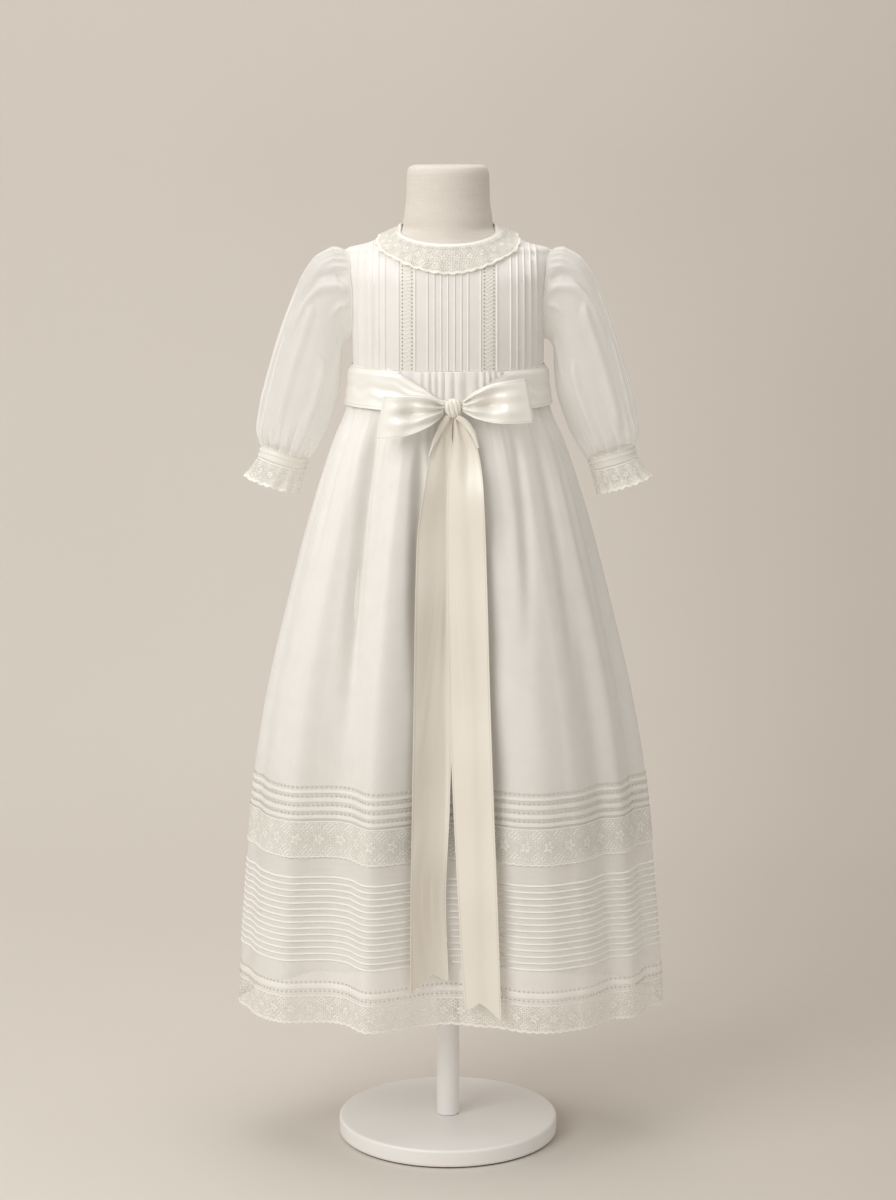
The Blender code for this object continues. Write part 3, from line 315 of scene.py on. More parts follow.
@dataclass(frozen=True)
class ThreadKnots:
    """Raised knots of thread, set along lines at an even pitch. In a tan material they are painted shade:
    dots that stand for the shaded holes of hemstitching.

    Attributes:
        pitch: the distance from knot to knot.
        radius: half a knot's width.
        stretch: how much longer a knot is along the line than across it.
    """

    pitch: float
    radius: float
    stretch: float = 1.0

    def inputs(self) -> dict[str, float]:
        """The named inputs of the node tree."""
        return {"Pitch": self.pitch, "Radius": self.radius, "Stretch": self.stretch}

    def tree(self, material) -> bpy.types.NodeTree:
        """The node tree that sets the knots along the edges of a mesh."""
        tree = bpy.data.node_groups.new("thread_knots", "GeometryNodeTree")
        faces = tree.interface
        faces.new_socket("Line", in_out="INPUT", socket_type="NodeSocketGeometry")
        for label, value in self.inputs().items():
            faces.new_socket(label, in_out="INPUT", socket_type="NodeSocketFloat").default_value = value
        faces.new_socket("Knots", in_out="OUTPUT", socket_type="NodeSocketGeometry")
        kinds = {
            "start": "NodeGroupInput", "end": "NodeGroupOutput", "curve": "GeometryNodeMeshToCurve",
            "spaced": "GeometryNodeResampleCurve", "ball": "GeometryNodeMeshUVSphere",
            "copies": "GeometryNodeInstanceOnPoints", "tangent": "GeometryNodeInputTangent",
            "aim": "FunctionNodeAlignRotationToVector", "size": "ShaderNodeCombineXYZ",
            "real": "GeometryNodeRealizeInstances", "dress": "GeometryNodeSetMaterial",
            "smooth": "GeometryNodeSetShadeSmooth",
        }
        node = {name: tree.nodes.new(kind) for name, kind in kinds.items()}
        node["spaced"].mode = "LENGTH"
        node["dress"].inputs["Material"].default_value = material
        fixed = (("ball", "Segments", 6), ("ball", "Rings", 4), ("size", "X", 1.0), ("size", "Y", 1.0))
        for name, socket, value in fixed:
            node[name].inputs[socket].default_value = value
        for origin, output, target, socket in (
            ("start", "Line", "curve", "Mesh"),
            ("curve", "Curve", "spaced", "Curve"),
            ("start", "Pitch", "spaced", "Length"),
            ("start", "Radius", "ball", "Radius"),
            ("start", "Stretch", "size", "Z"),
            ("tangent", "Tangent", "aim", "Vector"),
            ("spaced", "Curve", "copies", "Points"),
            ("ball", "Mesh", "copies", "Instance"),
            ("aim", "Rotation", "copies", "Rotation"),
            ("size", "Vector", "copies", "Scale"),
            ("copies", "Instances", "real", "Geometry"),
            ("real", "Geometry", "dress", "Geometry"),
            ("dress", "Geometry", "smooth", "Geometry"),
            ("smooth", "Geometry", "end", "Knots"),
        ):
            tree.links.new(node[origin].outputs[output], node[target].inputs[socket])
        return tree

    def along(self, name: str, lines: Sequence[np.ndarray], material) -> bpy.types.Object:
        """Sets knots along lines.

        Args:
            name: the piece's name.
            lines: runs of points.
            material: the thread's material.

        Returns:
            A plain mesh object that holds all the knots.
        """
        verts, edges = [], []
        for line in lines:
            edges += [(len(verts) + i, len(verts) + i + 1) for i in range(len(line) - 1)]
            verts += line.tolist()
        mesh = bpy.data.meshes.new(name + "_line")
        mesh.from_pydata(verts, edges, [])
        carrier = bpy.data.objects.new(name + "_line", mesh)
        bpy.context.scene.collection.objects.link(carrier)
        modifier = carrier.modifiers.new("knots", "NODES")
        modifier.node_group = self.tree(material)
        for item in modifier.node_group.interface.items_tree:
            if item.in_out == "INPUT" and item.name in self.inputs():
                modifier[item.identifier] = self.inputs()[item.name]
        evaluated = carrier.evaluated_get(bpy.context.evaluated_depsgraph_get())
        made = bpy.data.objects.new(name, bpy.data.meshes.new_from_object(evaluated))
        made.data.name = name
        bpy.data.objects.remove(carrier, do_unlink=True)
        bpy.context.scene.collection.objects.link(made)
        return made


# Finishes


class Shader:
    """One Principled material, with short ways to add the nodes that drive it."""

    def __init__(self, name: str) -> None:
        """Starts a material with a Principled shader and its output."""
        self.material = bpy.data.materials.new(name)
        self.material.use_nodes = True
        self.tree = self.material.node_tree
        self.surface = self.tree.nodes["Principled BSDF"]

    def add(self, kind: str, **inputs):
        """Adds a node, and sets or links each named input."""
        node = self.tree.nodes.new(kind)
        for label, value in inputs.items():
            self.feed(node.inputs[label.replace("_", " ")], value)
        return node

    def feed(self, socket, value) -> None:
        """Links a socket, or sets it where the value is a plain one."""
        if isinstance(value, bpy.types.NodeSocket):
            self.tree.links.new(value, socket)
        else:
            socket.default_value = value

    def math(self, operation: str, *values):
        """The output of a math node on sockets or numbers."""
        node = self.tree.nodes.new("ShaderNodeMath")
        node.operation = operation
        for socket, value in zip(node.inputs, values):
            self.feed(socket, value)
        return node.outputs[0]

    def ramp(self, value, low: float, high: float, start: float = 0.0, end: float = 1.0):
        """A smooth step of a value from low to high, given back between start and end."""
        node = self.tree.nodes.new("ShaderNodeMapRange")
        node.interpolation_type = "SMOOTHSTEP"
        for socket, number in zip(node.inputs, (value, low, high, start, end)):
            self.feed(socket, number)
        return node.outputs[0]

    def noise(self, vector, scale: float, detail: float = 2.0):
        """The value of a noise texture."""
        node = self.add("ShaderNodeTexNoise", Vector=vector, Scale=scale, Detail=detail)
        return node.outputs[0]

    def blend(self, share, first: tuple, second: tuple):
        """A colour between two, by a share."""
        node = self.tree.nodes.new("ShaderNodeMix")
        node.data_type = "RGBA"
        self.feed(node.inputs[0], share)
        self.feed(node.inputs[6], (*first, 1.0))
        self.feed(node.inputs[7], (*second, 1.0))
        return node.outputs[2]

    def bump(self, height, strength: float, distance: float) -> None:
        """Lets a height raise the surface's shading."""
        node = self.add("ShaderNodeBump", Height=height, Strength=strength, Distance=distance)
        self.feed(self.surface.inputs["Normal"], node.outputs[0])

    def cloth_axes(self):
        """The place along and across the cloth, in metres, and both as a vector."""
        place = self.tree.nodes.new("ShaderNodeUVMap")
        place.uv_map = "UVMap"
        parts = self.add("ShaderNodeSeparateXYZ", Vector=place.outputs[0])
        return parts.outputs[0], parts.outputs[1], place.outputs[0]

    def solid_axes(self):
        """The place in the object, in metres."""
        return self.tree.nodes.new("ShaderNodeTexCoord").outputs["Object"]

    def settle(self, **values) -> None:
        """Sets plain values on the shader's own sockets, or links what drives them."""
        for label, value in values.items():
            self.feed(self.surface.inputs[label.replace("_", " ")], value)

    def wave(self, place, length: float):
        """A sine wave along a place, with the given wavelength."""
        return self.math("SINE", self.math("MULTIPLY", place, 2 * math.pi / length))

    def drawn_noise(self, vector, scale: tuple[float, float, float], detail: float = 2.0):
        """Noise that is drawn out along its smaller scales."""
        return self.noise(self.add("ShaderNodeMapping", Vector=vector, Scale=scale).outputs[0], 1.0, detail)

    def shade(self, share, colour: Colour, kept: float, dark_first: bool = False) -> None:
        """Colours the surface between a colour and a darker one that keeps part of its light."""
        base = linear(colour)
        dark = tuple(c * kept for c in base)
        self.settle(Base_Color=self.blend(share, *((dark, base) if dark_first else (base, dark))))


def linear(colour: Colour) -> tuple[float, float, float]:
    """An sRGB colour of 0 to 255 as linear light."""
    parts = [c / 255 for c in colour]
    return tuple(p / 12.92 if p <= 0.04045 else ((p + 0.055) / 1.055) ** 2.4 for p in parts)


@dataclass(frozen=True)
class WovenFinish:
    """Plain woven cloth.

    Attributes:
        name: the material's name.
        colour: its sRGB colour.
        cover: the share of light that one layer stops.
        thread: the distance from thread to thread.
        roughness: how dull it is.
        relief: how strongly the weave is raised.
        slub: how uneven its cover is from place to place.
        sheen: how much light its fine threads catch at a glancing angle.
    """

    name: str
    colour: Colour
    cover: float
    thread: float = 0.0004
    roughness: float = 0.7
    relief: float = 0.12
    slub: float = 0.004
    sheen: float = 0.12

    def build(self):
        """Makes the material."""
        shader = Shader(self.name)
        along, across, place = shader.cloth_axes()
        warp, weft = shader.wave(along, self.thread), shader.wave(across, self.thread)
        slubs = shader.drawn_noise(place, (500.0, 30.0, 1.0))
        shader.shade(shader.ramp(shader.noise(place, 45.0, 3.0), 0.35, 0.75), self.colour, 0.97)
        if self.cover < 1:
            marked = shader.tree.nodes.new("ShaderNodeAttribute")
            marked.attribute_name = LAYERS
            layers = shader.math("MAXIMUM", shader.math("ADD", marked.outputs["Fac"], 1.0), 0.05)
            gap = shader.ramp(slubs, 0.3, 0.7, 1 - self.cover + self.slub, 1 - self.cover - self.slub)
            shader.settle(Alpha=shader.math("SUBTRACT", 1.0, shader.math("POWER", gap, layers)))
        shader.bump(shader.math("MULTIPLY", warp, weft), self.relief, 0.0001)
        shader.settle(Roughness=self.roughness, Specular_IOR_Level=0.25)
        shader.settle(Sheen_Weight=self.sheen, Sheen_Roughness=0.4)
        return shader.material


@dataclass(frozen=True)
class LaceFinish:
    """Net lace with a lattice of small flowers and ribbed lozenges.

    Attributes:
        name: the material's name.
        colour: its sRGB colour.
        width: how wide the lace is, from its sewn edge to the middle of its scallops.
        repeat: the length of one repeat of the pattern.
        net: the distance between the holes of the ground.
        ground: the share of light that the ground between its threads stops.
        cord: half a thread's width, as a share of the distance between the holes.
    """

    name: str
    colour: Colour
    width: float
    repeat: float
    net: float = 0.0013
    ground: float = 0.40
    cord: float = 0.13

    def build(self):
        """Makes the material."""
        shader = Shader(self.name)
        along, across, place = shader.cloth_axes()
        cells = shader.add("ShaderNodeTexVoronoi", Vector=place, Scale=1 / self.net, Randomness=0.25)
        cells.feature = "DISTANCE_TO_EDGE"
        net = shader.ramp(cells.outputs["Distance"], self.cord - 0.05, self.cord + 0.05, 1.0, 0.0)
        solid = self.lozenges(shader, along, across, place)
        for edge in (0.0, self.width):
            away = shader.math("ABSOLUTE", shader.math("SUBTRACT", across, edge))
            solid = shader.math("MAXIMUM", solid, shader.ramp(away, 0.0009, 0.0016, 1.0, 0.0))
        threads = shader.math("MULTIPLY_ADD", net, 0.90 - self.ground, self.ground)
        shader.settle(Alpha=shader.math("MAXIMUM", threads, shader.math("MULTIPLY", solid, 0.94)))
        # Painted shade: the net ground is coloured darker than the solid work, for the shadow seen through
        # its holes.
        shader.shade(solid, self.colour, 0.86, dark_first=True)
        shader.bump(shader.math("MULTIPLY_ADD", net, 0.5, solid), 0.26, 0.0003)
        shader.settle(Roughness=0.8, Specular_IOR_Level=0.2, Sheen_Weight=0.12)
        return shader.material

    def lozenges(self, shader: Shader, along, across, place):
        """A lattice of lozenges, by turns with a small flower and with ribbed cloth stitch.

        Args:
            shader: the shader to add it to.
            along: the place along the lace.
            across: the place across it.
            place: both as a vector.

        Returns:
            1 where the lace is worked solid, and 0 where it is net.
        """
        length, height = self.repeat, self.width * 0.62
        wander = shader.math("MULTIPLY_ADD", shader.noise(place, 170.0, 2.0), 0.16, -0.08)
        first = shader.math("ADD", shader.math("DIVIDE", along, length), wander)
        second = shader.math("DIVIDE", shader.math("SUBTRACT", across, self.width * 0.5), height)
        rising, falling = shader.math("ADD", first, second), shader.math("SUBTRACT", first, second)
        counted = shader.math("ADD", shader.math("FLOOR", rising), shader.math("FLOOR", falling))
        odd = shader.math("ABSOLUTE", shader.math("MODULO", counted, 2.0))
        one = shader.math("SUBTRACT", shader.math("FRACT", rising), 0.5)
        two = shader.math("SUBTRACT", shader.math("FRACT", falling), 0.5)
        border = shader.math("MAXIMUM", *(shader.math("ABSOLUTE", way) for way in (one, two)))
        cord = shader.ramp(border, 0.435, 0.475, 0.0, 0.75)
        right = shader.math("MULTIPLY", shader.math("ADD", one, two), length / 2)
        up = shader.math("MULTIPLY", shader.math("SUBTRACT", one, two), height / 2)
        angle = shader.math("ARCTAN2", up, right)
        lobes = shader.math("COSINE", shader.math("MULTIPLY", angle, 5.0))
        petal = shader.math("MULTIPLY_ADD", lobes, 0.26, 0.74)
        squared = (shader.math("POWER", way, 2.0) for way in (right, up))
        radius = shader.math("SQRT", shader.math("ADD", *squared))
        reach = shader.math("DIVIDE", radius, shader.math("MULTIPLY", petal, min(length, height) * 0.30))
        outline, eye = shader.ramp(reach, 0.85, 1.1, 1.0, 0.0), shader.ramp(reach, 0.25, 0.45, 0.2, 1.0)
        flower = shader.math("MULTIPLY", outline, eye)
        ribs = shader.math("SINE", shader.math("MULTIPLY", rising, 2 * math.pi * 5))
        inside, ribbed = shader.ramp(border, 0.34, 0.40, 1.0, 0.0), shader.ramp(ribs, -0.6, 0.4, 0.25, 1.0)
        leaf = shader.math("MULTIPLY", inside, ribbed)
        uneven = shader.ramp(shader.noise(place, 420.0, 2.0), 0.3, 0.7, 0.55, 1.0)
        filled = shader.math("MULTIPLY_ADD", odd, shader.math("SUBTRACT", leaf, flower), flower)
        return shader.math("MULTIPLY", shader.math("MAXIMUM", cord, filled), uneven)


@dataclass(frozen=True)
class SatinFinish:
    """Ribbon satin: a smooth face with a soft sheen, and a firm woven line near each edge.

    Attributes:
        name: the material's name.
        colour: its sRGB colour.
        width: how wide the ribbon is.
        roughness: how dull its face is.
    """

    name: str
    colour: Colour
    width: float
    roughness: float = 0.34

    def build(self):
        """Makes the material."""
        shader = Shader(self.name)
        _, across, place = shader.cloth_axes()
        threads = shader.drawn_noise(place, (26.0, 1500.0, 1.0))
        inset = shader.math("MINIMUM", across, shader.math("SUBTRACT", self.width, across))
        away = shader.math("ABSOLUTE", shader.math("SUBTRACT", inset, 0.0014))
        line = shader.ramp(away, 0.0003, 0.0007, 1.0, 0.0)
        share = shader.math("MULTIPLY_ADD", threads, 0.08, shader.math("MULTIPLY", line, 0.75))
        shader.shade(share, self.colour, 0.82)
        rough = shader.math("MULTIPLY_ADD", threads, 0.10, self.roughness - 0.05)
        shader.settle(Roughness=shader.math("MULTIPLY_ADD", line, 0.15, rough))
        shader.bump(shader.math("ADD", shader.math("MULTIPLY", threads, 0.08), line), 0.14, 0.0002)
        shader.settle(Specular_IOR_Level=1.0, Sheen_Weight=0.1, Coat_Weight=0.7, Coat_Roughness=0.3)
        return shader.material


@dataclass(frozen=True)
class LinenFinish:
    """The stretched linen of the dress form."""

    name: str = "form_linen_weave"
    colour: Colour = (229, 221, 211)
    thread: float = 0.0009

    def build(self):
        """Makes the material."""
        shader = Shader(self.name)
        place = shader.solid_axes()
        parts = shader.add("ShaderNodeSeparateXYZ", Vector=place)
        ring = shader.math("ARCTAN2", parts.outputs[1], parts.outputs[0])
        warp = shader.math("SINE", shader.math("MULTIPLY", ring, 2 * math.pi * 0.040 / self.thread))
        weft = shader.wave(parts.outputs[2], self.thread)
        level = shader.drawn_noise(place, (50.0, 50.0, 1400.0))
        upright = shader.drawn_noise(place, (1400.0, 1400.0, 50.0))
        slub = shader.math("MULTIPLY", shader.math("ADD", level, upright), 0.5)
        weave = shader.math("MULTIPLY_ADD", shader.math("MULTIPLY", warp, weft), 0.28, slub)
        shader.shade(shader.ramp(weave, 0.15, 0.80), self.colour, 0.84, dark_first=True)
        shader.bump(weave, 0.35, 0.0003)
        shader.settle(Roughness=0.9, Specular_IOR_Level=0.15, Sheen_Weight=0.1)
        return shader.material


@dataclass(frozen=True)
class HardFinish:
    """A hard, nearly even finish, such as powder coat, rubber or pearl.

    Attributes:
        name: the material's name.
        colour: its sRGB colour.
        roughness: how dull it is.
        grain: the size of its fine bumps.
        relief: how strongly they are raised.
        coat: the weight of a clear coat.
    """

    name: str
    colour: Colour
    roughness: float
    grain: float = 0.0012
    relief: float = 0.03
    coat: float = 0.0

    def build(self):
        """Makes the material."""
        shader = Shader(self.name)
        place = shader.solid_axes()
        fine = shader.noise(place, 1 / self.grain, 2.0)
        shader.shade(shader.noise(place, 14.0, 2.0), self.colour, 0.95)
        shader.settle(Roughness=shader.math("MULTIPLY_ADD", fine, 0.12, self.roughness - 0.06))
        shader.bump(fine, self.relief, 0.0002)
        shader.settle(Coat_Weight=self.coat, Coat_Roughness=0.25)
        return shader.material


class Finishes:
    """All of the gown's and the stand's materials, made once."""

    def __init__(self) -> None:
        """Makes every material."""
        self.organza = WovenFinish("organza_sheer", (248, 245, 240), 0.64).build()
        self.sleeve_organza = WovenFinish("organza_sleeve", (249, 248, 245), 0.45).build()
        self.lined_organza = WovenFinish("organza_lined", (240, 237, 232), 0.985).build()
        self.lining = WovenFinish("lining_lawn", (249, 246, 239), 1.0, thread=0.0005, roughness=0.85).build()
        lace = {
            name: LaceFinish(f"lace_{name}", colour, width, repeat, net, ground, cord).build()
            for name, colour, width, repeat, net, ground, cord in (
                ("collar", (248, 244, 234), 0.0275, 0.013, 0.0016, 0.42, 0.13),
                ("band", (251, 248, 240), 0.0345, 0.022, 0.0015, 0.56, 0.13),
                ("hem", (249, 246, 238), 0.0262, 0.019, 0.0021, 0.04, 0.085),
                ("frill", (250, 247, 240), 0.021, 0.012, 0.0019, 0.04, 0.09),
            )
        }
        self.collar_lace, self.band_lace = lace["collar"], lace["band"]
        self.hem_lace, self.frill_lace = lace["hem"], lace["frill"]
        self.ribbon = SatinFinish("satin_ribbon", (245, 242, 234), RIBBON_WIDTH, 0.36).build()
        # The hanging ends get a darker, warmer copy of the ribbon satin: painted shade for ends that hang in
        # shade.
        self.ribbon_painted_shade = SatinFinish("satin_tail", (237, 230, 217), RIBBON_WIDTH, 0.36).build()
        self.ribbon_solid = HardFinish("satin_knot_face", (243, 238, 227), 0.36, 0.0005, 0.05).build()
        self.binding = SatinFinish("satin_binding", (243, 239, 231), 0.0500, roughness=0.5).build()
        self.thread = WovenFinish("stitching_thread", (246, 243, 236), 1.0).build()
        # Tan knot colour for the insertion's hemstitch holes: painted shade for the shadow seen through the
        # holes.
        self.hole_shade_dots = WovenFinish("eyelet_painted_shade", (198, 184, 158), 1.0).build()
        # Tan knot colour for the skirt's hemstitch holes: painted shade, a little lighter than the bodice's.
        self.hemstitch_hole_shade = WovenFinish("hemstitch_painted_shade", (218, 208, 189), 1.0).build()
        self.linen = LinenFinish().build()
        self.paint = HardFinish("stand_powder_coat", (247, 244, 240), 0.38, coat=0.15).build()
        self.rubber = HardFinish("foot_rubber_matt", (52, 50, 48), 0.8).build()
        self.pearl = HardFinish("button_pearl", (246, 241, 230), 0.25, grain=0.004, coat=0.6).build()


# Keeping account of the pieces


@dataclass(frozen=True)
class Cut:
    """How a piece of cloth was cut and is held.

    Attributes:
        width: the cut's width in metres.
        length: its length in metres.
        held: how it hangs, in the frame's own words; not used.
        on: the node or piece that carries it; not used.
    """

    width: float
    length: float
    held: str
    on: str


def dress(
    piece: bpy.types.Object,
    nodes: Sequence[str] = (),
    cut: Cut | None = None,
) -> bpy.types.Object:
    """Puts a piece on the body, hides the solids that it stands for and logs its name, with its area where
    it is cloth.

    Args:
        piece: the finished piece.
        nodes: the solids that it replaces.
        cut: its cut, where it is cloth.

    Returns:
        The piece.
    """
    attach(piece, BODY)
    if nodes:
        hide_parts(*nodes)
    if cut:
        area = sum(face.area for face in piece.data.polygons)
        LOG.info("%s: area %.4f, cut %.4f m2", piece.name, area, cut.width * cut.length)
    else:
        LOG.info("%s", piece.name)
    return piece


# The stand and the dress form


@dataclass
class Stand:
    """The round base, its foot pad and the pole."""

    base_radius: float = 0.1075
    base_low: float = 0.0015
    base_top: float = 0.0180
    edge_radius: float = 0.0024
    pole_radius: float = 0.0110
    pole_top: float = 0.6397

    def build(self, finishes: Finishes) -> None:
        """Makes the base and the pole and gives the foot pad its rubber."""
        radius, edge, low, top = self.base_radius, self.edge_radius, self.base_low, self.base_top
        profile = [(0.02, low), (radius - 0.004, low), (radius - 0.001, low), (radius, low + 0.001)]
        profile += [(radius, z) for z in np.linspace(low + 0.003, top - edge, 4)]
        for step in range(1, 7):
            angle = math.radians(15 * step)
            profile.append((radius - edge + edge * math.cos(angle), top - edge + edge * math.sin(angle)))
        profile += [(radius - 0.004, top), (radius - 0.02, top), (0.03, top)]
        base = ring_solid("round_base", lathe_rings(profile, 160), finishes.paint)
        dress(base, ["stand_base"])
        r = self.pole_radius
        pole = [(r * 0.7, top + 0.0003)]
        pole += [(r, z) for z in (top + 0.0006, top + 0.02, 0.3, self.pole_top - 0.01, self.pole_top)]
        dress(ring_solid("pole", lathe_rings(pole, 64), finishes.paint), ["stand_pole"])
        bpy.data.objects["stand_foot_pad"].data.materials[0] = finishes.rubber


class Torso:
    """The surface of the limbless form, which the bodice and collar are laid on."""

    sections: Rows = table(
        "z half_width front back power",
        ( 0.640, 0.0700, 0.0500, 0.0460, 2.2),
        ( 0.655, 0.0790, 0.0560, 0.0520, 2.2),
        ( 0.700, 0.0870, 0.0615, 0.0565, 2.3),
        ( 0.760, 0.0885, 0.0635, 0.0575, 2.4),
        ( 0.800, 0.0890, 0.0640, 0.0585, 2.6),
        ( 0.840, 0.0915, 0.0600, 0.0560, 2.5),
        ( 0.857, 0.0940, 0.0550, 0.0520, 2.0),
        ( 0.868, 0.0950, 0.0495, 0.0470, 1.6),
        (0.8745, 0.0730, 0.0455, 0.0440, 1.6),
        ( 0.882, 0.0575, 0.0415, 0.0410, 1.7),
        (0.8905, 0.0430, 0.0395, 0.0390, 1.9),
        ( 0.900, 0.0420, 0.0385, 0.0385, 2.0),
        ( 0.915, 0.0400, 0.0370, 0.0370, 2.0),
        ( 0.940, 0.0390, 0.0360, 0.0360, 2.0),
        ( 0.946, 0.0370, 0.0340, 0.0340, 2.0),
        ( 0.948, 0.0330, 0.0305, 0.0305, 2.0),
    )
    neck_front: float = 0.8725
    neck_side: float = 0.8890
    neck_back: float = 0.8915
    neck_seam: float = 0.0022
    armhole_middle: float = 0.8275
    armhole_half_height: float = 0.0405
    armhole_half_depth: float = 0.0240
    straight_top: float = 0.855
    straight: float = 0.0845
    shoulder_end: float = 0.0950
    inset: float = 0.0005

    def value(self, column: str, z: np.ndarray | float) -> np.ndarray:
        """One measure of the form at a height."""
        return read_table(self.sections, "z", column, z)

    def ring(self, turn: np.ndarray, z: np.ndarray | float) -> np.ndarray:
        """Points of the form by turn and height."""
        depth = np.where(np.cos(np.radians(turn)) >= 0, self.value("front", z), self.value("back", z))
        x, y = oval(turn, self.value("half_width", z), depth, self.value("power", z))
        return np.stack(np.broadcast_arrays(x, y, z), axis=-1)

    def reach(self, turn: np.ndarray, z: np.ndarray) -> np.ndarray:
        """How far the form reaches straight out in the direction of a turn."""
        sine, cosine = np.abs(np.sin(np.radians(turn))), np.cos(np.radians(turn))
        power = self.value("power", z)
        depth = np.where(cosine >= 0, self.value("front", z), self.value("back", z))
        across, forward = sine / self.value("half_width", z), np.abs(cosine) / depth
        return (across**power + forward**power) ** (-1 / power)

    def depth(self, x: np.ndarray, z: np.ndarray, back: bool) -> np.ndarray:
        """How far the form reaches forward or back over a point of its front view."""
        power = self.value("power", z)
        inside = np.clip(1 - (np.abs(x) / self.value("half_width", z)) ** power, 0.0, None)
        return self.value("back" if back else "front", z) * inside ** (1 / power)

    def fullness(self, points: np.ndarray) -> np.ndarray:
        """1 on the form's surface, less inside it and more outside."""
        x, y, z = points[..., 0], points[..., 1], points[..., 2]
        power = self.value("power", z)
        depth = np.where(y <= 0, self.value("front", z), self.value("back", z))
        return (np.abs(x) / self.value("half_width", z)) ** power + (np.abs(y) / depth) ** power

    def lift(self, points: np.ndarray, height: np.ndarray | float) -> np.ndarray:
        """Moves points of the form out along its normal."""
        step = 0.0004
        slopes = [self.fullness(points + axis) - self.fullness(points - axis) for axis in step * np.eye(3)]
        slope = np.stack(slopes, axis=-1)
        slope /= np.maximum(np.linalg.norm(slope, axis=-1, keepdims=True), 1e-9)
        return points + slope * np.asarray(height)[..., None]

    def neckline(self, turn: np.ndarray | float) -> np.ndarray:
        """Height of the neckline, by the turn round the neck."""
        cosine = np.cos(np.radians(turn))
        folded = np.radians((np.abs(np.asarray(turn, dtype=float)) % 360))
        share = (np.abs(np.sin(folded / 2)) / math.sin(math.radians(45))) ** 2.4
        front = self.neck_front + (self.neck_side - self.neck_front) * share
        return np.where(cosine >= 0, front, self.neck_side + (self.neck_back - self.neck_side) * -cosine)

    def build(self, finishes: Finishes) -> None:
        """Makes the torso with its neck, a plain flat top and a rounded underside."""
        spans = ((0.640, 0.655, 8), (0.66, 0.85, 40), (0.852, 0.948, 60))
        heights = np.concatenate([np.linspace(*span) for span in spans])
        turn = turns_round(100) + 0.001
        rings = []
        for z in heights:
            ring = self.lift(self.ring(turn, z), -self.inset)
            ring[:, 2] = z
            rings.append(ring)
        top = rings[-1].copy()
        top[:, :2] *= 0.55
        rings.append(top)
        form = ring_solid("linen_form", [ring[::-1] for ring in rings], finishes.linen)
        dress(form, ["dress_form"])


# Bodice, neckband, collar and buttons


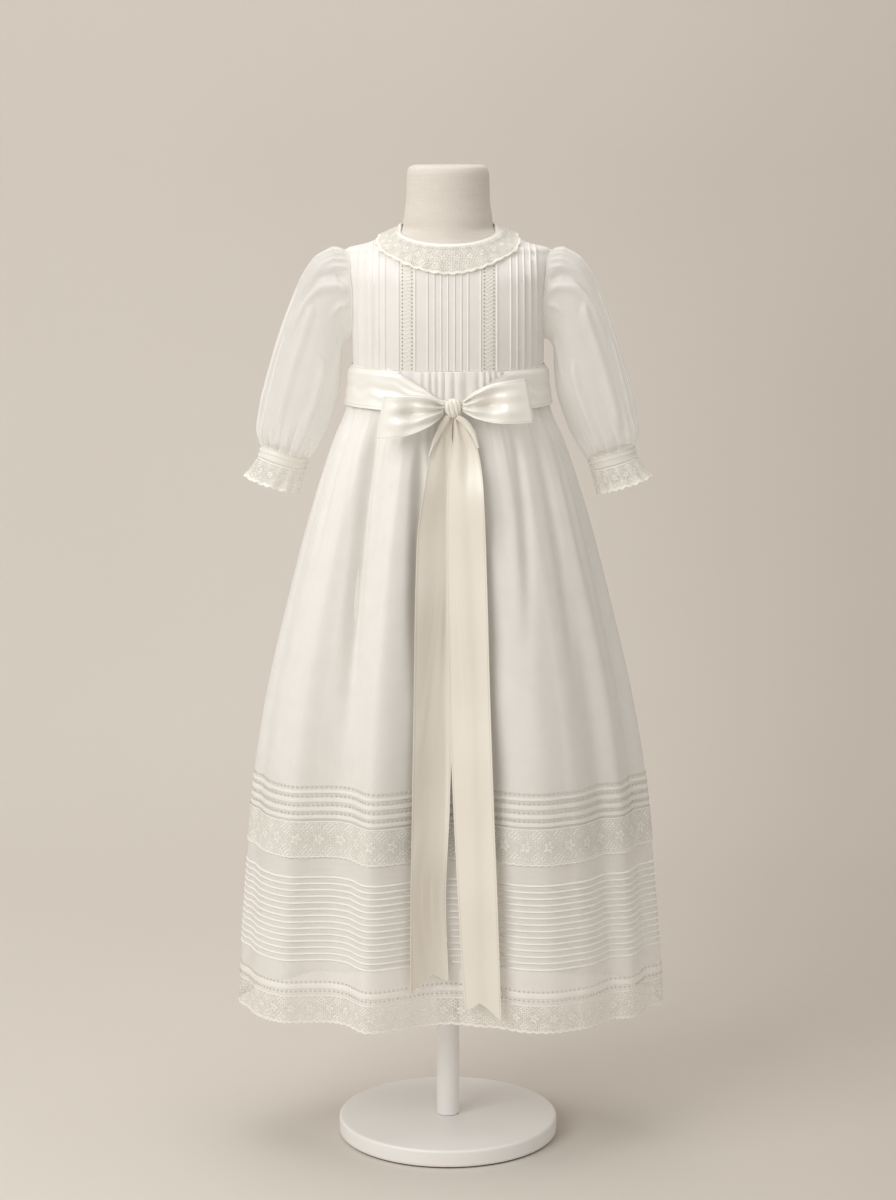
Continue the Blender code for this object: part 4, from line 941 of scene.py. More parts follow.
@dataclass
class Bodice:
    """The tucked front, the two backs with their buttons, and the neck finish."""

    torso: Torso
    clearance: float = 0.0007
    wall: float = 0.0012
    ease: float = 0.00015
    low: float = WAIST - 0.0025
    tuck_height: float = 0.0008
    centre_tucks: tuple[float, ...] = (0.0, 0.0062, 0.0124, 0.0186)
    insertion_tucks: tuple[float, ...] = (0.0300, 0.0450)
    side_tucks: tuple[float, ...] = (0.0575, 0.0635, 0.0695, 0.0755, 0.0810)
    insertion_middle: float = 0.0375
    drawn_line: float = 0.0043
    stitched: tuple[float, float] = (0.985, 0.035)
    collar_start: float = 0.0014
    button_heights: tuple[float, ...] = (0.775, 0.803, 0.831, 0.859)

    def top(self, x: float, back: bool) -> float:
        """Height of the upper edge over a distance from the centre line."""
        torso = self.torso
        neck_half = float(torso.value("half_width", torso.neck_side - torso.neck_seam))
        if abs(x) >= neck_half:
            heights = np.linspace(0.868, torso.neck_side, 800)
            return float(np.interp(-abs(x), -torso.value("half_width", heights), heights))
        turns = np.linspace(0.0, 90.0, 900)
        real = 180 - turns if back else turns
        level = torso.neckline(real) - torso.neck_seam
        out = torso.reach(real, level) * np.sin(np.radians(turns))
        return float(np.interp(abs(x), out, level))

    def column(self, place: float, share: np.ndarray, back: bool) -> np.ndarray:
        """Points of the bare form under one column of the bodice.

        Args:
            place: the distance from the centre line, or past the straight cloth the share of the side cloth.
            share: the shares of the height, from 0 at the waist to 1 at the top.
            back: whether it lies on the back.

        Returns:
            One point for each share.
        """
        torso, away = self.torso, abs(place)
        side = max(0.0, (away - torso.straight) / (1 - torso.straight))
        top_x = away if side == 0 else torso.straight + (torso.shoulder_end - torso.straight) * side
        top_z = self.top(top_x, back)
        z = self.low + (top_z - self.low) * (1 - (1 - share) ** 1.4)
        if side == 0:
            x = np.full_like(z, away)
        else:
            rise = np.clip((z - torso.straight_top) / (top_z - torso.straight_top), 0.0, 1.0)
            level = np.minimum(z, torso.straight_top)
            power, width = torso.value("power", level), torso.value("half_width", level)
            span = (level - torso.armhole_middle) / torso.armhole_half_height
            hole = torso.armhole_half_depth * np.sqrt(np.clip(1 - span * span, 0.0, None))
            begin = np.arcsin(np.minimum(1.0, (torso.straight / width) ** (power / 2)))
            end = np.arccos(np.minimum(1.0, (hole / torso.value("front", level)) ** (power / 2)))
            x = width * np.sin(begin + (end - begin) * side) ** (2 / power)
            x = x + (top_x - x) * rise
        y = torso.depth(x, z, back)
        on_ridge = away >= float(torso.value("half_width", torso.neck_side - torso.neck_seam))
        y = np.where((share >= 1) & on_ridge, 0.0, y)
        return np.stack((math.copysign(1.0, place) * x, y if back else -y, z), axis=1)

    def panel(
        self,
        name: str,
        places: Sequence[float],
        rises: Sequence[float],
        back: bool,
        finishes: Finishes,
        extra: Sequence[float] | None = None,
    ) -> bpy.types.Object:
        """Makes one panel as a closed wall.

        Args:
            name: the panel's name.
            places: where its columns stand.
            rises: how far each column is raised.
            back: whether it lies on the back.
            finishes: the gown's materials.
            extra: how many layers lie over the first at each column.

        Returns:
            The panel.
        """
        share = np.linspace(1.0, 0.0, 56)
        bare = np.stack([self.column(place, share, back) for place in places], axis=1)
        settle = 1 - 0.6 * smooth_step(0.96, 1.0, share)
        raised = np.asarray(rises)[None, :] * settle[:, None]
        outer = self.torso.lift(bare, self.clearance + self.wall + raised)
        outer[..., 1] += self.ease if back else -self.ease
        layers = None if extra is None else np.asarray(extra)[None, :]
        facing, cloth = BACK if back else FRONT, finishes.lined_organza
        return cloth_object(name, outer, cloth, thickness=self.wall, facing=facing, extra=layers)

    def front_columns(self) -> tuple[list[float], list[float], list[float]]:
        """The front's columns, with how far each is raised and how many layers lie over the first."""
        half = sorted({*self.centre_tucks, *self.insertion_tucks, *self.side_tucks})
        columns = []
        for tuck in sorted({*half, *(-t for t in half)}):
            for offset, height in ((-0.0009, 0.0), (-0.0006, 0.6), (0.0, 1.0), (0.0006, 0.6), (0.0009, 0.0)):
                columns.append((tuck + offset, height * self.tuck_height, height))
        for middle in self.insertions():
            for line in (-self.drawn_line, self.drawn_line):
                for offset, layer in ((-0.0009, 0.0), (-0.0006, -0.15), (0.0006, -0.15), (0.0009, 0.0)):
                    columns.append((middle + line + offset, 0.0, layer))
        for side in (-1, 1):
            for part in (0.0, 0.17, 0.34, 0.5, 0.67, 0.84, 1.0):
                columns.append((side * (self.torso.straight + (1 - self.torso.straight) * part), 0.0, 0.0))
        columns.sort()
        places, rises, layers = (list(values) for values in zip(*columns))
        return places, rises, layers

    def insertions(self) -> tuple[float, float]:
        """The middles of the two insertion strips."""
        return -self.insertion_middle, self.insertion_middle

    def on_cloth(self, bare: np.ndarray, above: float) -> np.ndarray:
        """Points of the bare form, moved out to lie a little above the bodice."""
        return self.torso.lift(bare, self.clearance + self.wall + above)

    def stitch_lines(self) -> list[np.ndarray]:
        """Lines of the insertion: two hemstitched rows to each strip, and the zigzag between them."""
        share = np.linspace(*self.stitched, 90)
        offsets = (-self.drawn_line, self.drawn_line)
        return [
            self.on_cloth(self.column(middle + offset, share, False), 0.0002)
            for middle in self.insertions()
            for offset in offsets
        ]

    def zigzag_lines(self) -> list[np.ndarray]:
        """Lines of the zigzag stitching between the two rows of each insertion."""
        share = np.linspace(*self.stitched, 72)
        even = (np.arange(len(share)) % 2 == 0)[:, None]
        inner = self.drawn_line - 0.0014
        lines = []
        for middle in self.insertions():
            left, right = (self.column(middle + way * inner, share, False) for way in (-1, 1))
            lines.append(self.on_cloth(np.where(even, left, right), 0.0002))
        return lines

    def waist_line(self) -> np.ndarray:
        """The line of stitches just over the waist seam."""
        turn = np.linspace(-86, 86, 200)
        return self.on_cloth(self.torso.ring(turn, np.full(len(turn), WAIST + 0.0016)), 0.0004)

    def build(self, finishes: Finishes) -> None:
        """Makes the panels, the hemstitching, the buttons, the neckband and the collar."""
        places, rises, layers = self.front_columns()
        front = self.panel("tucked_front", places, rises, False, finishes, layers)
        hemstitch, zigzag = ThreadKnots(0.0035, 0.00085), ThreadKnots(0.0010, 0.00048, 1.4)
        seam = ThreadKnots(0.0026, 0.00055, 1.2)
        stitches = [
            # These knots are painted shade: tan dots for the shaded holes of the hemstitching.
            hemstitch.along("insertion_hemstitch", self.stitch_lines(), finishes.hole_shade_dots),
            zigzag.along("insertion_zigzag", self.zigzag_lines(), finishes.thread),
            seam.along("waist_stitch", [self.waist_line()], finishes.thread),
        ]
        for row in stitches:
            dress(row)
        dress(front, ["bodice_front"], Cut(0.30, 0.13, "stretched", "linen_form"))
        sides = (0.0845 + 0.9155 * part for part in (0.0, 0.2, 0.4, 0.6, 0.8, 1.0))
        half = [*np.linspace(0.010, 0.083, 18), *sides]
        right = [0.0073, *half]
        left = [-place for place in reversed(half)] + list(np.linspace(-0.0070, 0.0070, 7))
        cut = Cut(0.125, 0.14, "stretched", "linen_form")
        for side, panel in ((Side.LEFT, left), (Side.RIGHT, right)):
            made = self.panel(f"plain_back_{side.word}", panel, [0.0] * len(panel), True, finishes)
            dress(made, [f"bodice_back_{side.word}"], cut)
        self.build_buttons(finishes)
        self.build_neckband(finishes)
        self.build_collar(finishes)

    def build_buttons(self, finishes: Finishes) -> None:
        """Makes the small domed buttons on the centre-back placket."""
        profile = ((0.0026, 0.0), (0.0042, 0.0003), (0.0045, 0.0009), (0.0043, 0.0013), (0.0036, 0.0016))
        profile += ((0.0032, 0.0013), (0.0015, 0.0015))
        for count, z in enumerate(self.button_heights, start=1):
            bare = np.array([0.0, float(self.torso.depth(0.0, z, True)), z])
            seat, tip = self.on_cloth(bare, 0.0), self.torso.lift(bare, 0.01)
            way = Vector(tip - seat).normalized()
            turn = np.array(Vector((0, 0, 1)).rotation_difference(way).to_matrix())
            foot = (tip - seat) / np.linalg.norm(tip - seat) * 0.0004
            rings = [ring @ turn.T + seat + foot for ring in lathe_rings(profile, 32)]
            button = ring_solid(f"pearl_button_{count}", rings, finishes.pearl)
            dress(button, [f"back_button_{count}"])

    def build_neckband(self, finishes: Finishes) -> None:
        """Makes the narrow rounded band that binds the neckline, open at the centre back."""
        turn = np.linspace(-178.5, 178.5, 220)
        angle = np.linspace(-1.1 * math.pi / 2, 1.7 * math.pi / 2, 16)[::-1]
        grid = []
        for a in angle:
            z = self.torso.neckline(turn) + 0.0003 + 0.0021 * (1 + math.sin(a))
            out = 0.0024 + 0.0017 * math.cos(a)
            grid.append(straight_out(self.torso.reach(turn, z) + out, turn, z))
        made = cloth_object("neck_binding", np.array(grid), finishes.binding, thickness=0.0009)
        dress(made, ["neckband"], Cut(0.27, 0.0100, "stretched", "linen_form"))

    def collar_paths(self, turn: np.ndarray, drops: np.ndarray) -> np.ndarray:
        """Points that lie given lengths down the form from under the neckband, straight out at each turn."""
        step, torso = 0.0002, self.torso
        z = torso.neckline(turn) + self.collar_start
        reach = torso.reach(turn, z)
        gone, track = np.zeros_like(turn), [(np.zeros_like(turn), reach, z)]
        while gone.min() < drops.max() + 0.001:
            lower = torso.reach(turn, z - step)
            gone = gone + np.hypot(lower - reach, step)
            z, reach = z - step, lower
            track.append((gone, reach, z))
        lengths, reaches, heights = (np.array(part) for part in zip(*track))
        made = np.empty((*drops.shape, 3))
        for c, a in enumerate(np.radians(turn)):
            out, level = (np.interp(drops[:, c], lengths[:, c], way[:, c]) for way in (reaches, heights))
            made[:, c] = np.stack((out * math.sin(a), -out * math.cos(a), level), axis=1)
        return made

    def build_collar(self, finishes: Finishes) -> None:
        """Makes the gathered lace collar, with its ruffle waves and scalloped edge."""
        waves = 26
        turn = np.linspace(-178.5, 178.5, waves * 14 + 1)
        share = np.linspace(0.0, 1.0, 16)[:, None]
        scallop = 0.0011 * np.abs(np.sin(np.linspace(0, math.pi * 42, len(turn))))
        low = 0.0262 * (1 - 0.2 * np.sin(np.radians(turn)) ** 2) + scallop + self.collar_start
        drops = low * share
        points = self.collar_paths(turn, drops)
        along = np.linspace(0, 1, len(turn))
        wave = 0.5 - 0.5 * np.cos(2 * math.pi * (waves * along + 0.18 * np.sin(2 * math.pi * 5 * along)))
        rise = 0.0017 * share**1.3 * wave * (0.7 + 0.3 * ripple(along, (3, 7), 5))
        stand = 0.0026 + 0.0016 * smooth_step(0.0, 0.0032, drops)
        outer = self.torso.lift(points, stand + rise)
        made = cloth_object("lace_collar", outer, finishes.collar_lace)
        edges = [outer[-1], outer[-3]]
        picots = ThreadKnots(0.0016, 0.00038, 1.4).along("collar_picots", edges, finishes.thread)
        dress(picots)
        dress(made, ["collar"], Cut(0.36, 0.026, "gathered", "neck_binding"))


# Skirt, lining and lace


@dataclass(frozen=True)
class Row:
    """One row of a tier.

    Attributes:
        z: its height.
        rise: how far it is raised off the skirt's surface.
        extra: how many layers lie over the first there, or less than 0 where threads are drawn out.
    """

    z: float
    rise: float = 0.0
    extra: float = 0.0


@dataclass(frozen=True)
class LaceTier:
    """A ring of lace on the skirt.

    Attributes:
        name: the piece's name.
        top: the height of its sewn edge.
        width: its width between the scallops.
        off: how far it lies off the skirt's own surface.
        scallop: how far the scallops hang below that.
        scallops: how many scallops go round.
        node: what the names of its two solids start with.
        on: the piece that it is sewn to.
    """

    name: str
    top: float
    width: float
    off: float
    scallop: float
    scallops: int
    node: str
    on: str


class Skirt:
    """The skirt's tiers, from the waist seam to the scalloped hem, and the lining inside them."""

    CLOTH_WIDTH = 1.15
    sections: Rows = table(
        "z crowd half_width front back fold gather lining",
        (0.1300, 0.00, 0.2030, 0.0915, 0.0960, 1.00,  0.0, 0.0100),
        (0.1750, 0.00, 0.2005, 0.0925, 0.0965, 1.00,  0.0, 0.0100),
        (0.2660, 0.00, 0.1935, 0.0935, 0.0960, 0.98,  0.0, 0.0095),
        (0.3560, 0.12, 0.1855, 0.0910, 0.0930, 0.95,  0.0, 0.0090),
        (0.4360, 0.30, 0.1735, 0.0885, 0.0890, 0.78,  0.0, 0.0085),
        (0.5340, 0.45, 0.1520, 0.0850, 0.0840, 0.58,  0.0, 0.0075),
        (0.6310, 0.60, 0.1270, 0.0805, 0.0775, 0.40, 0.03, 0.0060),
        (0.6900, 0.75, 0.1080, 0.0755, 0.0705, 0.24, 0.22, 0.0042),
        (0.7220, 0.85, 0.0950, 0.0695, 0.0635, 0.12, 0.62, 0.0029),
        (0.7450, 1.00, 0.0918, 0.0668, 0.0608, 0.00, 1.00, 0.0026),
        (0.7550, 1.00, 0.0917, 0.0667, 0.0607, 0.00, 0.95, 0.0026),
        (0.7600, 1.00, 0.0917, 0.0667, 0.0607, 0.00, 0.30, 0.0026),
    )
    folds: Rows = table(
        "turn rise fall height",
        (-90, 30, 28,  0.004),
        (-50, 30, 14,  0.012),
        (-32,  8,  7, -0.004),
        (-19,  9, 13,  0.022),
        ( -1, 10, 10, -0.013),
        ( 19, 11, 14,  0.019),
        ( 31, 14, 20,  0.017),
        ( 55,  9,  9,  0.005),
        ( 71,  9,  8, -0.004),
        ( 84,  8, 10,  0.006),
        (106, 11, 11,  0.009),
        (132, 14, 11,  0.014),
        (160, 12, 15,  0.016),
        (192, 15, 12,  0.016),
        (219, 11, 14,  0.014),
        (245, 11, 11,  0.009),
    )
    creases: Rows = table(
        "high low from to width height",
        (0.742, 0.380, -40, -29, 3.2, -0.0125),
        (0.715, 0.430, -12,  -8, 2.2, -0.0110),
        (0.738, 0.440,  35,  20, 2.8, -0.0034),
        (0.738, 0.420,  50,  40, 3.0, -0.0036),
        (0.738, 0.520,  66,  58, 2.4, -0.0024),
        (0.738, 0.560, -66, -58, 2.4, -0.0028),
        (0.735, 0.600, -24, -21, 2.0, -0.0024),
        (0.735, 0.610, -50, -45, 2.0, -0.0020),
        (0.735, 0.480, 118, 121, 2.6, -0.0040),
        (0.735, 0.430, 147, 146, 3.0, -0.0050),
        (0.735, 0.500, 176, 176, 2.4, -0.0044),
        (0.735, 0.420, 207, 206, 3.0, -0.0050),
        (0.735, 0.530, 235, 232, 2.4, -0.0036),
        (0.735, 0.600, 160, 160, 2.0, -0.0022),
        (0.735, 0.620, 195, 194, 2.0, -0.0022),
    )
    power: float = 2.25
    sway: float = 0.0030
    gathers: int = 68
    wide_tucks: Rows = table(
        "top bottom hemstitch",
        (0.3640, 0.3610, 0.3675),
        (0.3567, 0.3523, 0.3588),
        (0.3478, 0.3437, 0.3500),
        (0.3400, 0.3363, 0.3418),
    )
    low_hemstitch: tuple[float, float] = (0.1762, 0.1670)
    pintucks: int = 14
    pintuck_top: float = 0.2795
    pintuck_pitch: float = 0.0063
    lace_band: LaceTier = LaceTier(
        name="lace_insertion",
        top=SKIRT_END,
        width=0.0345,
        off=0.0010,
        scallop=0.0009,
        scallops=190,
        node="lace_band",
        on="organza_skirt",
    )
    lace_hem: LaceTier = LaceTier(
        name="hem_lace_edging",
        top=HEM_LACE_TOP + 0.0006,
        width=0.0268,
        off=0.0004,
        scallop=0.0013,
        scallops=170,
        node="hem_lace",
        on="pintucked_panel",
    )
    pintuck_rows: Route = (
        (0.0, 0.0, 0.0),
        (0.0004, 0.0007, 1.5),
        (0.0012, 0.0011, 1.5),
        (0.0017, 0.0007, 1.5),
        (0.0020, 0.0, 0.0),
    )

    def value(self, column: str, z: np.ndarray | float) -> np.ndarray:
        """One measure of the skirt at a height."""
        return read_table(self.sections, "z", column, z)

    def fold_height(self, turn: np.ndarray, z: np.ndarray) -> np.ndarray:
        """How far the large folds carry the cloth out."""
        total = np.zeros(np.broadcast(turn, z).shape)
        for fold in self.folds:
            away = turn_between(turn, fold["turn"])
            flank = np.where(away > 0, fold["fall"], fold["rise"])
            bell = 0.5 * (1 + np.cos(math.pi * np.clip(away / flank, -1, 1)))
            total = total + fold["height"] * bell
        return total * self.value("fold", z)

    def small_folds(self, turn: np.ndarray, z: np.ndarray) -> np.ndarray:
        """Gathers under the waist seam, the creases that run down from them and soft folds below."""
        share = turn / 360
        wobble = 0.010 * np.sin(2 * math.pi * 3 * share) + 0.006 * np.sin(2 * math.pi * 13 * share + 1.0)
        gather = np.abs(np.sin(math.pi * self.gathers * (share + wobble)))
        uneven = 0.75 + 0.25 * ripple(share, (9, 14, 23), 3)
        total = 0.0027 * gather * uneven * self.value("gather", z)
        total = total + self.crease_depth(turn, z)
        fade = smooth_step(0.745, 0.68, z) * (1 - 0.7 * smooth_step(0.66, 0.46, z))
        soft = 0.0006 * ripple(share, (24, 31, 41), 8) * fade
        broad = 0.0011 * ripple(share, (9, 12, 17), 12) * smooth_step(0.66, 0.40, z)
        return total + soft + broad

    def crease_depth(self, turn: np.ndarray, z: np.ndarray) -> np.ndarray:
        """How far the narrow creases that run down from the waist carry the cloth in."""
        total = np.zeros(np.broadcast(turn, z).shape)
        for crease in self.creases:
            down = np.clip((crease["high"] - z) / (crease["high"] - crease["low"]), 0.0, 1.0)
            middle = crease["from"] + (crease["to"] - crease["from"]) * down
            away = turn_between(turn, middle)
            fade = smooth_step(0.0, 0.22, down) * smooth_step(1.0, 0.45, down)
            total = total + crease["height"] * fade * np.exp(-((away / crease["width"]) ** 2))
        return total

    def points(
        self,
        turn: np.ndarray,
        z: np.ndarray,
        fold_share: float = 1.0,
        inset: float = 0.0,
        fine: bool = True,
    ) -> np.ndarray:
        """Points of the skirt by turn and height.

        Args:
            turn: turns in degrees.
            z: heights, in a shape that goes with turn's.
            fold_share: how much of the large folds the cloth takes.
            inset: how much of the lining's distance it lies inside.
            fine: whether the small folds are there.

        Returns:
            The points.
        """
        turn, z = np.broadcast_arrays(turn, z)
        sine, cosine = np.sin(np.radians(turn)), np.cos(np.radians(turn))
        side = smooth_step(-0.05, 0.05, cosine)
        depth = self.value("front", z) * side + self.value("back", z) * (1 - side)
        width, sink = self.value("half_width", z), self.value("lining", z) * inset
        x, y = oval(turn, width - sink, depth - sink, self.power)
        out = self.fold_height(turn, z) * fold_share
        if fine:
            out = out + self.small_folds(turn, z)
        elif inset:
            out = out + self.crease_depth(turn, z)
        away = np.stack((sine * depth, -cosine * width), axis=-1)
        away /= np.linalg.norm(away, axis=-1, keepdims=True)
        sway = self.sway * (WAIST - z) / (WAIST - HEM)
        return np.stack((x + sway + away[..., 0] * out, y + away[..., 1] * out, z), axis=-1)

    def lifted(self, turn: np.ndarray, heights: np.ndarray, rises: np.ndarray) -> np.ndarray:
        """A grid of the skirt with each row raised along the cloth's normal."""
        grid = self.points(turn[None, :], heights[:, None])
        if len(grid) < 2:
            near = self.points(turn[None, :], heights[:, None] - 0.001)
            normals = grid_normals(np.concatenate((grid, near)), True, None)[:1]
        else:
            normals = grid_normals(grid, True, None)
        return grid + normals * rises.reshape(-1, 1, 1)

    @staticmethod
    def tuck_rows(top: float, bottom: float, height: float) -> list[Row]:
        """Rows of one tuck: sewn down along its top, standing proud at its folded lower edge."""
        span = top - bottom
        return [
            Row(top + 0.0002),
            Row(top - 0.0002, 0.45 * height, 0.6),
            Row(top - 0.35 * span, 0.75 * height, 0.6),
            Row(top - 0.75 * span, height, 0.6),
            Row(bottom + 0.0003, height, 0.6),
            Row(bottom + 0.0001, 0.7 * height, 0.6),
            Row(bottom - 0.0001),
        ]

    @staticmethod
    def drawn_rows(middle: float) -> list[Row]:
        """Rows where threads are drawn out of the cloth for hemstitching."""
        steps = ((0.0009, 0.0), (0.0005, -0.15), (-0.0005, -0.15), (-0.0009, 0.0))
        return [Row(middle + offset, 0.0, layers) for offset, layers in steps]

    def ring(self, name: str, rows: list[Row], columns: int, material) -> bpy.types.Object:
        """Makes one tier that goes all round, as a single sheer layer."""
        turn = turns_round(columns)
        grid = self.lifted(turn, np.array([row.z for row in rows]), np.array([row.rise for row in rows]))
        layers = np.array([row.extra for row in rows])[:, None]
        return cloth_object(name, grid, material, wrap=True, extra=layers)

    def build(self, finishes: Finishes) -> None:
        """Makes the lining, the tiers, the lace and the hemstitching."""
        self.build_lining(finishes)
        self.build_upper(finishes)
        self.build_panel(finishes)
        self.build_lace(self.lace_band, finishes.band_lace, finishes)
        self.build_lace(self.lace_hem, finishes.hem_lace, finishes)

    def build_lining(self, finishes: Finishes) -> None:
        """Makes the opaque lining, which takes less of the folds and ends above the bands."""
        turn = turns_round(260)
        heights = np.linspace(WAIST, 0.3010, 56)
        inner = self.points(turn[None, :], heights[:, None], fold_share=0.8, inset=1.0, fine=False)
        edge = smooth_step(0.05, 0.11, np.abs(inner[..., 0]))
        inner[..., 0] *= 1 - 0.07 * smooth_step(0.72, 0.50, heights)[:, None] * edge
        lining = cloth_object("lawn_lining", inner, finishes.lining, wrap=True, thickness=0.0008)
        dress(lining, ["lining_front", "lining_back"], Cut(0.98, 0.48, "gathered", "tucked_front"))

    def build_upper(self, finishes: Finishes) -> None:
        """Makes the gathered organza with its four wide tucks."""
        rows = [Row(WAIST + 0.0006, -0.0012, 2.0)]
        rows += [Row(z, 0.0, 2.0 * float(self.value("crowd", z))) for z in np.linspace(WAIST, 0.3692, 84)]
        for tuck in self.wide_tucks:
            rows += self.drawn_rows(tuck["hemstitch"]) + self.tuck_rows(tuck["top"], tuck["bottom"], 0.0007)
        rows.append(Row(SKIRT_END))
        skirt = self.ring("organza_skirt", rows, 600, finishes.organza)
        levels = [tuck["hemstitch"] for tuck in self.wide_tucks]
        stitches = self.hemstitch("skirt_hemstitch", levels, finishes)
        cut = Cut(self.CLOTH_WIDTH, 0.43, "gathered", "tucked_front")
        dress(skirt, ["skirt_front", "skirt_back"], cut)

    def build_panel(self, finishes: Finishes) -> None:
        """Makes the tier of fine pintucks and one wider tuck."""
        rows = [Row(z) for z in (SKIRT_END - 0.0003, 0.3170, 0.2997, 0.2900)]
        for tuck in range(self.pintucks):
            top = self.pintuck_top + 0.0012 - self.pintuck_pitch * tuck
            for fall, rise, layers in self.pintuck_rows:
                rows.append(Row(top - fall, rise, layers))
        rows += [Row(z) for z in (0.1930, 0.1850, 0.1785)]
        rows += self.drawn_rows(self.low_hemstitch[0]) + self.tuck_rows(0.1742, 0.1692, 0.0008)
        rows += self.drawn_rows(self.low_hemstitch[1])
        rows.append(Row(HEM_LACE_TOP + 0.0003))
        panel = self.ring("pintucked_panel", rows, 520, finishes.organza)
        stitches = self.hemstitch("hem_hemstitch", self.low_hemstitch, finishes)
        nodes = ["tucked_panel_front", "tucked_panel_back"]
        dress(panel, nodes, Cut(self.CLOTH_WIDTH, 0.175, "hung", "organza_skirt"))

    def hemstitch(self, name: str, levels: Sequence[float], finishes: Finishes) -> bpy.types.Object:
        """Rows of tan hemstitch knots round the skirt at the given heights: painted shade that stands for
        the shaded holes of the drawn work.
        """
        turn = np.linspace(0, 360, 900)
        lines = [self.lifted(turn, np.array([z]), np.array([0.0005]))[0] for z in levels]
        return dress(ThreadKnots(0.0046, 0.00086, 1.0).along(name, lines, finishes.hemstitch_hole_shade))

    def build_lace(self, tier: LaceTier, material, finishes: Finishes) -> None:
        """Makes a ring of lace with a scalloped lower edge and a line of picots."""
        columns = tier.scallops * 8
        share = np.linspace(0.0, 1.0, 16)[:, None]
        arch = np.abs(np.sin(np.linspace(0, math.pi * tier.scallops, columns, endpoint=False)))
        deep = tier.width + tier.scallop * arch
        grid = self.points(turns_round(columns)[None, :], tier.top - deep[None, :] * share)
        grid = grid + grid_normals(grid, True, None) * tier.off
        made = cloth_object(tier.name, grid, material, wrap=True)
        lines = [closed(grid[row]) for row in (-1, -2)]
        picots = ThreadKnots(0.0021, 0.0005, 1.4).along(tier.name + "_picots", lines, finishes.thread)
        dress(picots)
        nodes = [f"{tier.node}_{end}" for end in ("front", "back")]
        dress(made, nodes, Cut(self.CLOTH_WIDTH, tier.width, "hung", tier.on))


# Sleeves


